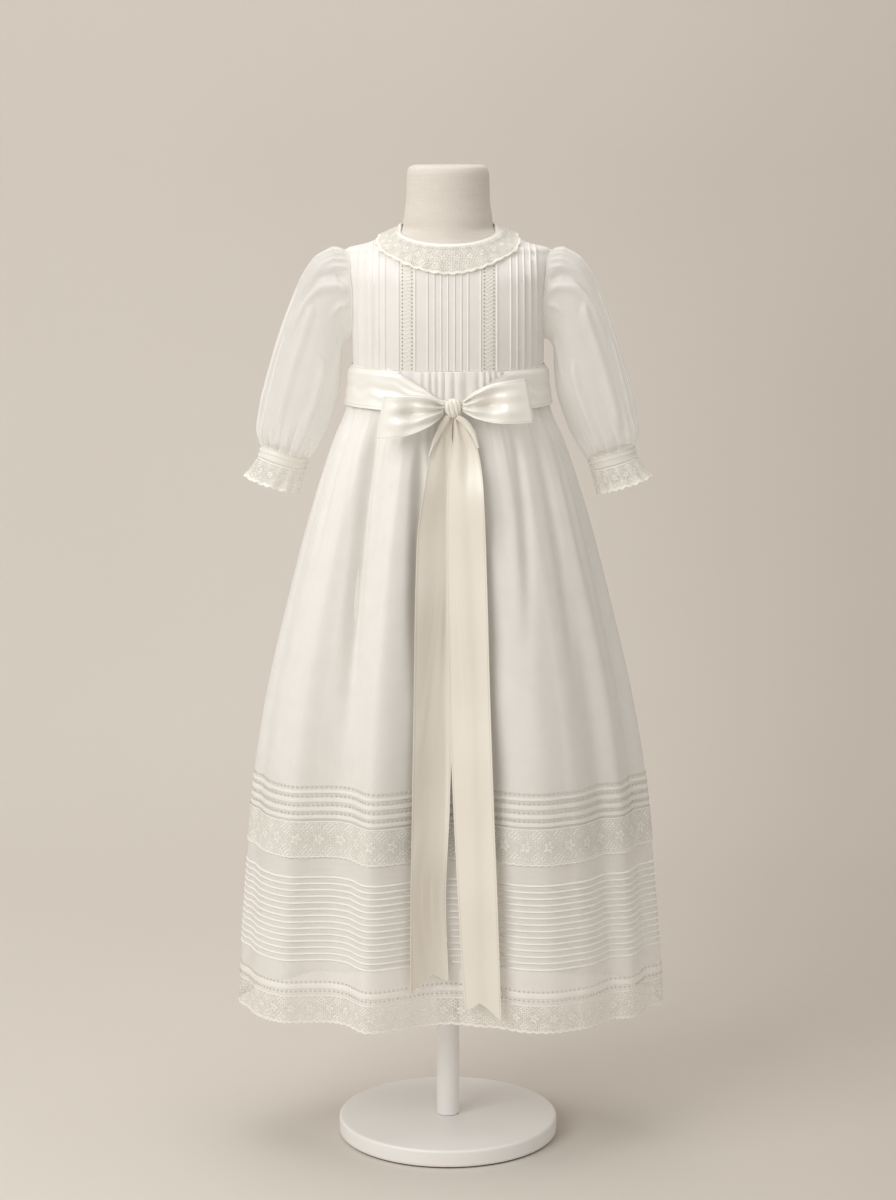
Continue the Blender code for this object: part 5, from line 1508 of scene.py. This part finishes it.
@dataclass
class Sleeve:
    """A full sleeve, gathered at the armhole and into a narrow cuff with a lace frill."""

    torso: Torso
    side: Side
    lap: float = 0.0012
    stand_off: float = 0.0031

    sections: Rows = table(
        "along outer_x outer_z inner_x inner_z depth",
        (1, 0.1085, 0.8705, 0.0965, 0.7830, 0.029),
        (2, 0.1235, 0.8630, 0.1000, 0.7760, 0.032),
        (3, 0.1355, 0.8460, 0.1015, 0.7680, 0.034),
        (4, 0.1465, 0.8215, 0.1022, 0.7590, 0.035),
        (5, 0.1590, 0.7880, 0.1035, 0.7430, 0.035),
        (6, 0.1695, 0.7530, 0.1075, 0.7250, 0.034),
        (7, 0.1775, 0.7215, 0.1150, 0.7055, 0.033),
        (8, 0.1797, 0.7010, 0.1235, 0.6880, 0.030),
        (9, 0.1772, 0.6865, 0.1325, 0.6730, 0.021),
    )
    folds: Rows = table(
        "angle drift start end width height layers",
        ( 40,  0, 0.1, 2.2, 4.5,  0.0022, 0.5),
        ( 22,  0, 0.1, 1.7, 4.5,  0.0020, 0.4),
        ( 54,  0, 0.1, 1.9, 3.4,  0.0015, 0.5),
        ( 66,  0, 0.1, 1.5, 3.2,  0.0016, 0.5),
        ( 78,  0, 0.1, 2.6, 3.2,  0.0017, 0.7),
        ( 90,  0, 0.1, 1.9, 2.8,  0.0017, 0.7),
        (102,  0, 0.1, 2.8, 3.2,  0.0018, 0.7),
        (114,  0, 0.1, 1.5, 2.8,  0.0018, 0.5),
        (127,  0, 0.1, 1.9, 3.4,  0.0020, 0.5),
        (140,  0, 0.1, 1.5, 3.2,  0.0020, 0.4),
        (160, -9, 0.2, 4.2, 6.5, -0.0046, 0.0),
        (175, -9, 0.2, 4.6, 6.0,  0.0034, 0.3),
        (192,  0, 0.2, 1.9, 4.5,  0.0020, 0.4),
        ( 92,  0, 2.2, 8.7, 2.6,  0.0012, 1.8),
        (106,  0, 3.4, 8.9, 2.6,  0.0013, 1.8),
        (122,  0, 4.8, 8.6, 3.0,  0.0012, 1.2),
        (158,  0, 3.0, 7.8, 9.0,  0.0030, 0.2),
        (206,  0, 4.4, 8.8, 7.0,  0.0026, 0.2),
        (236,  0, 1.4, 5.0, 7.0,  0.0020, 0.3),
        ( 22,  0, 3.2, 8.0, 9.0,  0.0026, 0.2),
        (334,  0, 4.6, 8.4, 8.0,  0.0022, 0.2),
        (270,  0, 2.0, 8.8, 3.0,  0.0008, 1.2),
    )
    cuff: Rows = table(
        "along outer_x outer_z inner_x inner_z depth",
        (0, 0.1771, 0.6861, 0.1326, 0.6726, 0.0215),
        (1, 0.1802, 0.6740, 0.1362, 0.6606, 0.0215),
    )
    frill: Rows = table(
        "along outer_x outer_z inner_x inner_z depth",
        (0, 0.1803, 0.6736, 0.1363, 0.6602, 0.0215),
        (1, 0.1860, 0.6640, 0.1400, 0.6500, 0.0240),
        (2, 0.1925, 0.6540, 0.1445, 0.6390, 0.0270),
    )

    def rim(self, angle: np.ndarray) -> np.ndarray:
        """Points just outside the bodice round the armhole. Angle 90 is its top."""
        torso = self.torso
        z = torso.armhole_middle + (torso.armhole_half_height + self.lap) * np.sin(np.radians(angle))
        y = (torso.armhole_half_depth + self.lap) * np.cos(np.radians(angle))
        power = torso.value("power", z)
        depth = np.where(y < 0, torso.value("front", z), torso.value("back", z))
        x = torso.value("half_width", z) * (1 - (np.abs(y) / depth) ** power) ** (1 / power)
        return np.stack((self.side.value * (x + self.stand_off), y, z), axis=-1)

    def tube(self, rows: Rows, angle: np.ndarray, place: np.ndarray, from_rim: bool = False) -> np.ndarray:
        """A smooth tube through its sections, by the angle round it and the place along it."""
        angle, place = np.broadcast_arrays(angle, place)
        value = {name: read_table(rows, "along", name, place) for name in rows[0] if name != "along"}
        sine, cosine = np.sin(np.radians(angle)), np.cos(np.radians(angle))
        ends = ((value[f"outer_{way}"], value[f"inner_{way}"]) for way in "xz")
        x, z = ((outer + inner) / 2 + (outer - inner) / 2 * sine for outer, inner in ends)
        made = np.stack((self.side.value * x, value["depth"] * cosine, z), axis=-1)
        if from_rim:
            share = np.clip(place / rows[0]["along"], 0.0, 1.0)[..., None]
            start = self.rim(angle)
            made = start + (made - start) * share
        return made

    def build(self, finishes: Finishes) -> None:
        """Makes the sleeve, the cuff with its hemstitching and the frill."""
        word = self.side.word
        angle = turns_round(300)[None, :]
        place = np.concatenate((np.linspace(0, 1, 14), np.linspace(1.1, 9, 90)))[:, None]
        grid = self.tube(self.sections, angle, place, from_rim=True)
        normals = grid_normals(grid, True, None)
        share = angle / 360 + 0.004 * place
        raised = np.zeros(np.broadcast(angle, place).shape)
        layers = np.zeros_like(raised)
        for fold in self.folds:
            middle = fold["angle"] + fold["drift"] * place + 1.2 * np.sin(place * 1.7 + fold["angle"])
            away = turn_between(angle, middle)
            begin = smooth_step(fold["start"] - 0.1, fold["start"] + 0.5, place)
            finish = smooth_step(fold["end"] + 0.5, fold["end"] - 0.9, place)
            raised = raised + fold["height"] * begin * finish * np.exp(-((away / fold["width"]) ** 2))
            layers = layers + fold["layers"] * begin * finish * np.exp(-((away / fold["width"] / 0.6) ** 2))
        length = 6.9 + 0.8 * ripple(share, (5, 8, 13), 27)
        low = smooth_step(length, 8.8, place)
        pleats = np.abs(np.sin(math.pi * (20 * share + 0.3 * np.sin(2 * math.pi * 3 * share)))) ** 0.8
        raised = raised + 0.0023 * low * pleats
        layers = layers + 0.8 * low * (1 - pleats) ** 2
        drape = 0.0013 * ripple(share, (1, 2, 3), 31 + int(self.side.value))
        raised = raised + drape * smooth_step(1.0, 4.0, place) * smooth_step(9.0, 7.0, place)
        grid = grid + normals * raised[..., None]
        sleeve = cloth_object(f"full_sleeve_{word}", grid, finishes.sleeve_organza, wrap=True, extra=layers)
        seam = [closed(grid[0])]
        stitch = ThreadKnots(0.0022, 0.0005, 1.8).along(f"armhole_stitch_{word}", seam, finishes.thread)
        dress(stitch)
        dress(sleeve, [f"sleeve_{word}"], Cut(0.235, 0.19, "gathered", "tucked_front"))
        self.build_cuff(finishes)

    def build_cuff(self, finishes: Finishes) -> None:
        """Makes the cuff band and its hemstitching, then the frill."""
        word = self.side.word
        angle = turns_round(120)[None, :]
        place = np.linspace(0, 1, 12)[:, None]
        grid = self.tube(self.cuff, angle, place)
        normals = grid_normals(grid, True, None)
        rolled = 0.0007 * np.sqrt(np.clip(1 - (2 * place - 1) ** 4, 0, None))
        grid = grid + normals * (rolled - 0.0004)[..., None]
        cuff = cloth_object(f"cuff_band_{word}", grid, finishes.binding, wrap=True, thickness=0.0012)
        lines = [closed(grid[row] + normals[row] * 0.0003) for row in (1, 5, 10)]
        stitch = ThreadKnots(0.0024, 0.00075).along(f"cuff_hemstitch_{word}", lines, finishes.thread)
        dress(stitch)
        cut = Cut(0.115, 0.0155, "gathered", f"full_sleeve_{word}")
        dress(cuff, [f"cuff_{word}"], cut)
        self.build_frill(finishes)

    def build_frill(self, finishes: Finishes) -> None:
        """Makes the gathered lace frill, with its waves and scalloped edge."""
        word = self.side.word
        waves, scallops = 12, 24
        angle = turns_round(scallops * 12)[None, :]
        share = angle / 360
        deep = 1 + 0.07 * np.abs(np.sin(math.pi * scallops * share)) - 0.05
        place = np.linspace(0, 2, 18)[:, None] * deep
        grid = self.tube(self.frill, angle, np.minimum(place, 2.0))
        end, before = (self.tube(self.frill, angle, np.full_like(place, at)) for at in (2.0, 1.9))
        grid = grid + (end - before) * (np.maximum(place - 2.0, 0) * 10)[..., None]
        normals = grid_normals(grid, True, None)
        wave = 0.5 + 0.5 * np.cos(2 * math.pi * (waves * share + 0.12 * np.sin(2 * math.pi * 3 * share)))
        flare = 0.0026 * (place / 2) ** 0.8 * wave
        grid = grid + normals * flare[..., None]
        frill = cloth_object(f"lace_frill_{word}", grid, finishes.frill_lace, wrap=True)
        lines = [closed(grid[row]) for row in (-1, -3)]
        picots = ThreadKnots(0.0015, 0.00045, 1.4).along(f"frill_picots_{word}", lines, finishes.thread)
        dress(picots)
        cut = Cut(0.165, 0.0215, "gathered", f"cuff_band_{word}")
        dress(frill, [f"cuff_frill_{word}"], cut)


# The satin sash and its bow


@dataclass
class Sash:
    """The ribbon sash, the bow's loops and knot, and the two hanging ends."""

    skirt: Skirt
    knot_turn: float = 2.4
    lean: float = 0.0010
    hug: float = 0.0034
    satin: float = 0.0010
    knot_centre: tuple[float, float, float] = (0.0045, -0.0840, 0.7285)
    knot_half: tuple[float, float, float] = (0.0078, 0.0062, 0.0088)
    notch: float = 0.0165
    left_twist: Route = (
        (0.0005, 0.7210, 0.0050),
        (-0.0050, 0.7120, 0.0062),
        (-0.0118, 0.6985, 0.0048),
        (-0.0178, 0.6830, 0.0012),
    )
    right_twist: Route = (
        (0.0080, 0.7210, 0.0050),
        (0.0168, 0.7150, 0.0060),
        (0.0240, 0.7040, 0.0052),
        (0.0280, 0.6920, 0.0022),
    )
    band: Rows = table(
        "away top bottom off",
        (1.5, 0.7330, 0.7240, 0.0087),
        (  6, 0.7350, 0.7235, 0.0068),
        ( 14, 0.7450, 0.7215, 0.0050),
        ( 26, 0.7560, 0.7215, 0.0035),
        ( 40, 0.7625, 0.7235, 0.0034),
        ( 90, 0.7625, 0.7242, 0.0034),
        (180, 0.7635, 0.7252, 0.0034),
    )
    loop_sections: Rows = table(
        "reach half_height front back",
        (0.0, 0.0046, -0.0865, -0.0825),
        (0.2, 0.0125, -0.0945, -0.0820),
        (0.5, 0.0180, -0.0985, -0.0835),
        (0.8, 0.0198, -0.0950, -0.0845),
        (1.0, 0.0202, -0.0900, -0.0855),
    )
    loops: Rows = table(
        "side near_x far_x near_z far_z",
        (-1.0, -0.0044, -0.0605, 0.7275, 0.7200),
        ( 1.0,  0.0134,  0.0735, 0.7300, 0.7365),
    )
    swells: Rows = table(
        "side z out lean reach",
        (-1.0, 0.655, 0.0022, -0.0014, 0.030),
        (-1.0, 0.540, 0.0014, -0.0008, 0.035),
        (-1.0, 0.310, 0.0030,  0.0012, 0.040),
        ( 1.0, 0.640, 0.0046,  0.0042, 0.034),
        ( 1.0, 0.520, 0.0028,  0.0008, 0.045),
        ( 1.0, 0.400, 0.0022,  0.0015, 0.040),
        ( 1.0, 0.265, 0.0022,  0.0010, 0.036),
    )
    left_tail: Rows = table(
        "z left right off",
        (0.7197, -0.0005,  0.0040, 0.0110),
        (0.7060, -0.0095,  0.0035, 0.0065),
        (0.6900, -0.0150,  0.0045, 0.0030),
        (0.6620, -0.0205,  0.0065, 0.0020),
        (0.6000, -0.0290,  0.0060, 0.0016),
        (0.4550, -0.0318,  0.0045, 0.0016),
        (0.3500, -0.0335,  0.0015, 0.0048),
        (0.2610, -0.0351, -0.0019, 0.0048),
        (0.1720, -0.0355,  0.0005, 0.0048),
    )
    right_tail: Rows = table(
        "z left right off",
        (0.7197,  0.0052, 0.0110, 0.0130),
        (0.7060,  0.0050, 0.0190, 0.0095),
        (0.6900,  0.0037, 0.0277, 0.0062),
        (0.6620, -0.0005, 0.0320, 0.0046),
        (0.6000, -0.0015, 0.0350, 0.0040),
        (0.4550,  0.0009, 0.0393, 0.0040),
        (0.3500,  0.0050, 0.0430, 0.0070),
        (0.2610,  0.0095, 0.0465, 0.0070),
        (0.1460,  0.0162, 0.0506, 0.0070),
    )

    def build(self, finishes: Finishes) -> None:
        """Makes the sash, the loops, the knot and the tails."""
        self.build_band(finishes)
        for loop in self.loops:
            self.build_loop(loop, finishes)
        self.build_knot(finishes)
        self.build_tail(Side.LEFT, self.left_tail, self.left_twist, finishes)
        self.build_tail(Side.RIGHT, self.right_tail, self.right_twist, finishes)

    def build_band(self, finishes: Finishes) -> None:
        """Makes the sash round the waist, with soft creases that draw towards the knot."""
        start, end = self.knot_turn + 1.5, self.knot_turn + 358.5
        turn = np.linspace(start, end, 320)
        away = np.minimum(turn - self.knot_turn, 360 - turn + self.knot_turn)
        share = np.linspace(0.0, 1.0, 22)[:, None]
        columns = ("top", "bottom", "off")
        top, bottom, off = (read_table(self.band, "away", name, away)[None, :] for name in columns)
        z = top + (bottom - top) * share
        grid = self.skirt.points(turn[None, :], z, fine=False)
        normals = grid_normals(grid, False, None)
        tight = smooth_step(45.0, 4.0, away)[None, :]
        wander = 0.05 * ripple(away[None, :] / 40, (1, 2), 4)
        crease = ripple(share * 0.9 + wander, (1.6, 2.7, 3.9), 9)
        rise = (0.0003 + 0.0008 * tight) * crease * np.sin(math.pi * np.clip(share, 0, 1)) ** 0.5
        wide = 0.0004 * ripple(turn[None, :] / 360, (7, 11, 19), 6) * np.sin(math.pi * share)
        hug = self.hug * smooth_step(0.30, 0.0, share) * smooth_step(WAIST - 0.0035, WAIST + 0.0015, z)
        off = off + self.satin - self.lean * (1 - np.minimum(1.0, 2 * share)) - hug
        grid = grid + normals * (off + rise + wide)[..., None]
        made = cloth_object("satin_sash", grid, finishes.ribbon, thickness=0.0008)
        dress(made, ["sash"], Cut(0.54, RIBBON_WIDTH, "stretched", "organza_skirt"))

    def build_loop(self, loop: dict[str, float], finishes: Finishes) -> None:
        """Makes one bow loop: out from the knot, round its far end and back behind itself."""
        side = loop["side"]
        out = np.linspace(0.0, 1.0, 44)
        bend = np.linspace(0.0, math.pi, 12)[1:-1]
        front = read_table(self.loop_sections, "reach", "front", out)
        back = read_table(self.loop_sections, "reach", "back", out)
        middle, radius = (front[-1] + back[-1]) / 2, (back[-1] - front[-1]) / 2
        reach = np.concatenate((out, np.ones_like(bend), out[::-1]))
        flat = np.zeros_like(out)
        bulge = np.concatenate((flat, np.sin(bend) * radius * 1.1, flat))
        y = np.concatenate((front, middle - radius * np.cos(bend), back[::-1]))
        behind = np.concatenate((flat, bend / math.pi, np.ones_like(out)))
        half = read_table(self.loop_sections, "reach", "half_height", reach) * (1 - 0.05 * behind)
        x = loop["near_x"] + (loop["far_x"] - loop["near_x"]) * reach + side * bulge
        level = loop["near_z"] + (loop["far_z"] - loop["near_z"]) * reach**0.8
        cross = np.linspace(1.0, -1.0, 40)[:, None]
        fan = (1 - reach) ** 1.4 * smooth_step(0.0, 0.06, reach)
        spread = 1.5 * cross + 0.10 * side + 0.25 * cross**2
        pleat = 0.0032 * fan * np.cos(2 * math.pi * spread) * (1 - behind)
        cup = -0.0020 * (1 - cross**2) * np.sin(math.pi * np.minimum(reach, 1.0)) * (1 - 2 * behind)
        wide, tall = (0.16, 0.40) if side < 0 else (0.19, 0.66)
        along, over = (reach - 0.48 + 0.04 * side) / wide, (cross - 0.05 - 0.5 * (reach - 0.5)) / tall
        hollow = np.exp(-(along**2) - over**2)
        cup = cup + (0.0112 * hollow - 0.0022 * (1 + side) * reach**2) * (1 - behind)
        soft = 0.0006 * ripple(reach + 0.3 * cross, (1.3, 2.1), 14) * np.sin(math.pi * reach)
        lean = 0.0035 * side * cross * np.minimum(1.0, reach * 2)
        grid = np.stack(np.broadcast_arrays(x - lean, y + pleat + cup + soft, level + half * cross), axis=-1)
        word = "left" if side < 0 else "right"
        length, middle = 0.13, RIBBON_WIDTH / 2
        along = np.linspace(0, length, len(reach))[None, :]
        uv = np.stack(np.broadcast_arrays(along, middle - middle * cross), axis=2)
        made = cloth_object(f"satin_loop_{word}", grid, finishes.ribbon, thickness=0.0007, uv=uv)
        dress(made, [f"bow_loop_{word}"], Cut(length, RIBBON_WIDTH, "folded", "satin_knot"))

    def build_knot(self, finishes: Finishes) -> None:
        """Makes the knot: an upright wrap of ribbon with a small fold pressed out on each side of it."""
        rings = []
        angle = np.linspace(0, 2 * math.pi, 72, endpoint=False)
        for tilt in np.linspace(-math.pi / 2 + 0.12, math.pi / 2 - 0.12, 48):
            level, up = math.cos(tilt), np.full(len(angle), math.sin(tilt))
            flat = np.stack((level * np.cos(angle), level * np.sin(angle), up), axis=1)
            rounded = np.sign(flat) * np.abs(flat) ** (2 / 2.5)
            front = smooth_step(0.3, -0.5, flat[:, 1])
            slant = flat[:, 0] + 0.30 * flat[:, 2]
            creases = ((0.26, 0.16), (0.34, -0.34), (0.20, 0.60))
            crease = sum(deep * np.exp(-(((slant - at) / 0.09) ** 2)) for deep, at in creases)
            rounded[:, 1] *= 1 - crease * front
            rounded[:, 2] *= 1 - 0.20 * smooth_step(-0.2, -0.8, flat[:, 0])
            rings.append(np.array(self.knot_centre) + rounded * np.array(self.knot_half))
        dress(ring_solid("satin_knot", rings, finishes.ribbon_solid), ["bow_knot"])

    def build_twist(self, side: Side, route: Route, sections: Rows, finishes: Finishes) -> bpy.types.Object:
        """Makes the narrow turned-over fold of a tail where it leaves the knot.

        Args:
            side: the tail's side.
            route: the fold's middle line from the knot down, as (x, z, width).
            sections: the tail's own table.
            finishes: the gown's materials.

        Returns:
            The fold.
        """
        t = np.linspace(0, 1, 40)
        knots = np.linspace(0, 1, len(route))
        x, z, width = (np.interp(t, knots, column) for column in zip(*route))
        padded = (np.pad(line, 4, mode="reflect", reflect_type="odd") for line in (x, z))
        x, z = (np.convolve(line, np.ones(9) / 9, "valid") for line in padded)
        along = np.stack((np.gradient(x), np.gradient(z)), axis=1)
        along /= np.linalg.norm(along, axis=1, keepdims=True)
        across = np.linspace(-0.5, 0.5, 15)
        grid_x = x[:, None] - along[:, 1:2] * width[:, None] * across
        grid_z = z[:, None] + along[:, 0:1] * width[:, None] * across
        depth = self.front_depth(grid_x, z) - read_table(sections, "z", "off", z)[:, None]
        bow = 0.0016 * (1 - (2 * across) ** 2)
        grid = np.stack((grid_x, depth - 0.0042 - bow, grid_z), axis=-1)
        name = f"satin_twist_{side.word}"
        made = cloth_object(name, grid, finishes.ribbon_solid, thickness=0.0006, facing=FRONT)
        return dress(made)

    def front_depth(self, x: np.ndarray, z: np.ndarray) -> np.ndarray:
        """How far forward the skirt reaches near given distances from the centre line."""
        turn = np.arange(-30.0, 30.1, 0.3)
        made = np.empty_like(x)
        for r in range(x.shape[0]):
            skirt = self.skirt.points(turn, np.full_like(turn, z[r]), fine=False)
            near = np.abs(skirt[None, :, 0] - x[r][:, None]) <= 0.008
            made[r] = np.where(near, skirt[None, :, 1], 1.0).min(axis=1)
        return made

    def build_tail(self, side: Side, sections: Rows, route: Route, finishes: Finishes) -> None:
        """Makes one hanging end: creased at the knot, turned over beside it and cut to a notch."""
        top, bottom = sections[0]["z"], sections[-1]["z"]
        drop = np.linspace(0.0, 1.0, 150) ** 1.15
        z = top - (top - bottom) * drop
        share = np.linspace(0.0, 1.0, 33)[None, :]
        left = read_table(sections, "z", "left", z)[:, None]
        right = read_table(sections, "z", "right", z)[:, None]
        x = left + (right - left) * share
        y = self.front_depth(x, z)
        kernel = np.ones(9) / 9
        padded = np.pad(y, ((4, 4), (0, 0)), mode="edge")
        y = np.stack([np.convolve(padded[:, c], kernel, mode="valid") for c in range(y.shape[1])], axis=1)
        y = y - read_table(sections, "z", "off", z)[:, None] - 0.0006
        held = np.exp(-(top - z) / 0.035)[:, None]
        pleat = 0.0022 * held * np.cos(2 * math.pi * (1.5 * share + 0.1 * side.value))
        free = smooth_step(0.0, 0.3, drop)[:, None]
        wave = 0.0010 * free * ripple(drop[:, None] + 0.10 * share, (1.5, 2.6, 4.1), 40 + int(side.value))
        curl = -0.0008 * free * (2 * share - 1) ** 2
        y = y + np.minimum(pleat, 0.0008) + wave * 0.6 + curl - 0.0004
        for swell in self.swells:
            if swell["side"] == side.value:
                bell = np.exp(-(((z - swell["z"]) / swell["reach"]) ** 2))[:, None]
                y = y - bell * (swell["out"] + swell["lean"] * (2 * share - 1))
        level = np.broadcast_to(z[:, None], y.shape).copy()
        end = smooth_step(0.90, 1.0, drop)[:, None]
        peak = 0.5 - 0.10 * side.value
        cut = np.where(share < peak, share / peak, (1 - share) / (1 - peak))
        slope = 0.5 - side.value * (share - 0.5)
        level += end * (self.notch * cut + 0.0085 * slope * (1 - cut))
        grid = np.stack((x, y, level), axis=-1)
        uv = np.stack(np.broadcast_arrays((top - z)[:, None], RIBBON_WIDTH * share), axis=2)
        name, cut = f"satin_tail_{side.word}", Cut(RIBBON_WIDTH, top - bottom, "hung", "satin_knot")
        # The darker satin copy here is painted shade on the hanging end.
        made = cloth_object(name, grid, finishes.ribbon_painted_shade, thickness=0.0006, facing=FRONT, uv=uv)
        twist = self.build_twist(side, route, sections, finishes)
        dress(made, [f"sash_tail_{side.word}"], cut)


# Room, light and camera


@dataclass
class Studio:
    """The plain backdrop, the soft light and the camera."""

    backdrop_colour: Colour = (220, 213, 205)
    camera_place: tuple[float, float, float] = (0.0, -2.750, 1.019)
    look_down: float = 10.0
    focal_share: float = 2904 / 1200
    sensor: float = 36.0
    aim: tuple[float, float, float] = (0.0, 0.0, 0.5)
    room_light: tuple[float, float, float] = (1.0, 0.975, 0.937)
    room_strength: float = 0.50
    floor_front: float = -6.0
    sweep: float = 0.9
    wall_top: float = 5.0
    half_width: float = 5.0

    def build(self) -> None:
        """Makes the sweep of paper, the lamps and the camera."""
        self.build_backdrop()
        self.lamp("key", (-1.9, -1.85, 2.2), 2.2, 52.0, (0.996, 1.0, 0.992))
        self.lamp("fill", (2.2, -2.4, 1.2), 2.4, 5.0, (1.0, 0.985, 0.96))
        self.lamp("top", (-0.1, 0.1, 3.0), 1.8, 22.5, (1.0, 0.993, 0.984))
        world = bpy.data.worlds.new("studio")
        world.use_nodes = True
        background = world.node_tree.nodes["Background"]
        background.inputs["Color"].default_value = (*self.room_light, 1.0)
        background.inputs["Strength"].default_value = self.room_strength
        bpy.context.scene.world = world
        bpy.context.scene.view_settings.view_transform = "Standard"
        camera = bpy.data.objects.new("camera", bpy.data.cameras.new("camera"))
        camera.data.sensor_fit = "VERTICAL"
        camera.data.sensor_height = self.sensor
        camera.data.lens = self.sensor * self.focal_share
        camera.location = self.camera_place
        camera.rotation_euler = (math.radians(90 - self.look_down), 0.0, 0.0)
        bpy.context.scene.collection.objects.link(camera)
        bpy.context.scene.camera = camera

    def build_backdrop(self) -> None:
        """Makes a floor that sweeps up into a wall, painted darker towards its right as painted shade."""
        start = radius = self.sweep
        profile = [(y, 0.0) for y in (self.floor_front, -2.0, 0.0, start)]
        for angle in np.linspace(0.1, math.pi / 2, 16):
            profile.append((start + radius * math.sin(angle), radius - radius * math.cos(angle)))
        profile += [(start + radius, 2.0), (start + radius, self.wall_top)]
        across = np.linspace(-self.half_width, self.half_width, 9)
        grid = np.array([[(x, y, z) for x in across] for y, z in profile])
        shader = Shader("backdrop_paper")
        place = shader.solid_axes()
        parts = shader.add("ShaderNodeSeparateXYZ", Vector=place)
        # Painted shade: the paper darkens towards the right, most near the floor and less higher up; the
        # cloudy noise is the paper's own uneven tone.
        right = shader.ramp(parts.outputs[0], -0.1, 0.7)
        right = shader.math("MULTIPLY", right, shader.ramp(parts.outputs[2], 0.3, 1.1, 1.0, 0.4))
        cloudy, right = shader.noise(place, 1.6, 3.0), shader.math("MULTIPLY", right, 0.7)
        shade = shader.math("MULTIPLY_ADD", cloudy, 0.3, right)
        base = linear(self.backdrop_colour)
        dark = tuple(c * share for c, share in zip(base, (0.80, 0.78, 0.75)))
        shader.bump(shader.noise(place, 900.0, 2.0), 0.04, 0.0005)
        shader.settle(Base_Color=shader.blend(shade, base, dark), Roughness=0.95, Specular_IOR_Level=0.1)
        cloth_object("backdrop", grid, shader.material, facing=Vector((0, -1, 1)))

    def lamp(self, name: str, place: tuple, size: float, power: float, tint: tuple) -> None:
        """Adds one large square lamp that looks at the gown."""
        light = bpy.data.lights.new(name, "AREA")
        light.size, light.energy, light.color = size, power, tint
        made = bpy.data.objects.new(name, light)
        made.location = place
        made.rotation_euler = (Vector(self.aim) - Vector(place)).to_track_quat("-Z", "Y").to_euler()
        bpy.context.scene.collection.objects.link(made)


def main() -> None:
    """Builds the sub-assemblies in order, then the room."""
    logging.basicConfig(level=logging.INFO, format="%(name)s: %(message)s")
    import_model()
    finishes = Finishes()
    torso, skirt = Torso(), Skirt()
    Stand().build(finishes)
    torso.build(finishes)
    Bodice(torso).build(finishes)
    skirt.build(finishes)
    for side in Side:
        Sleeve(torso, side).build(finishes)
    Sash(skirt).build(finishes)
    Studio().build()


if __name__ == "__main__":
    main()
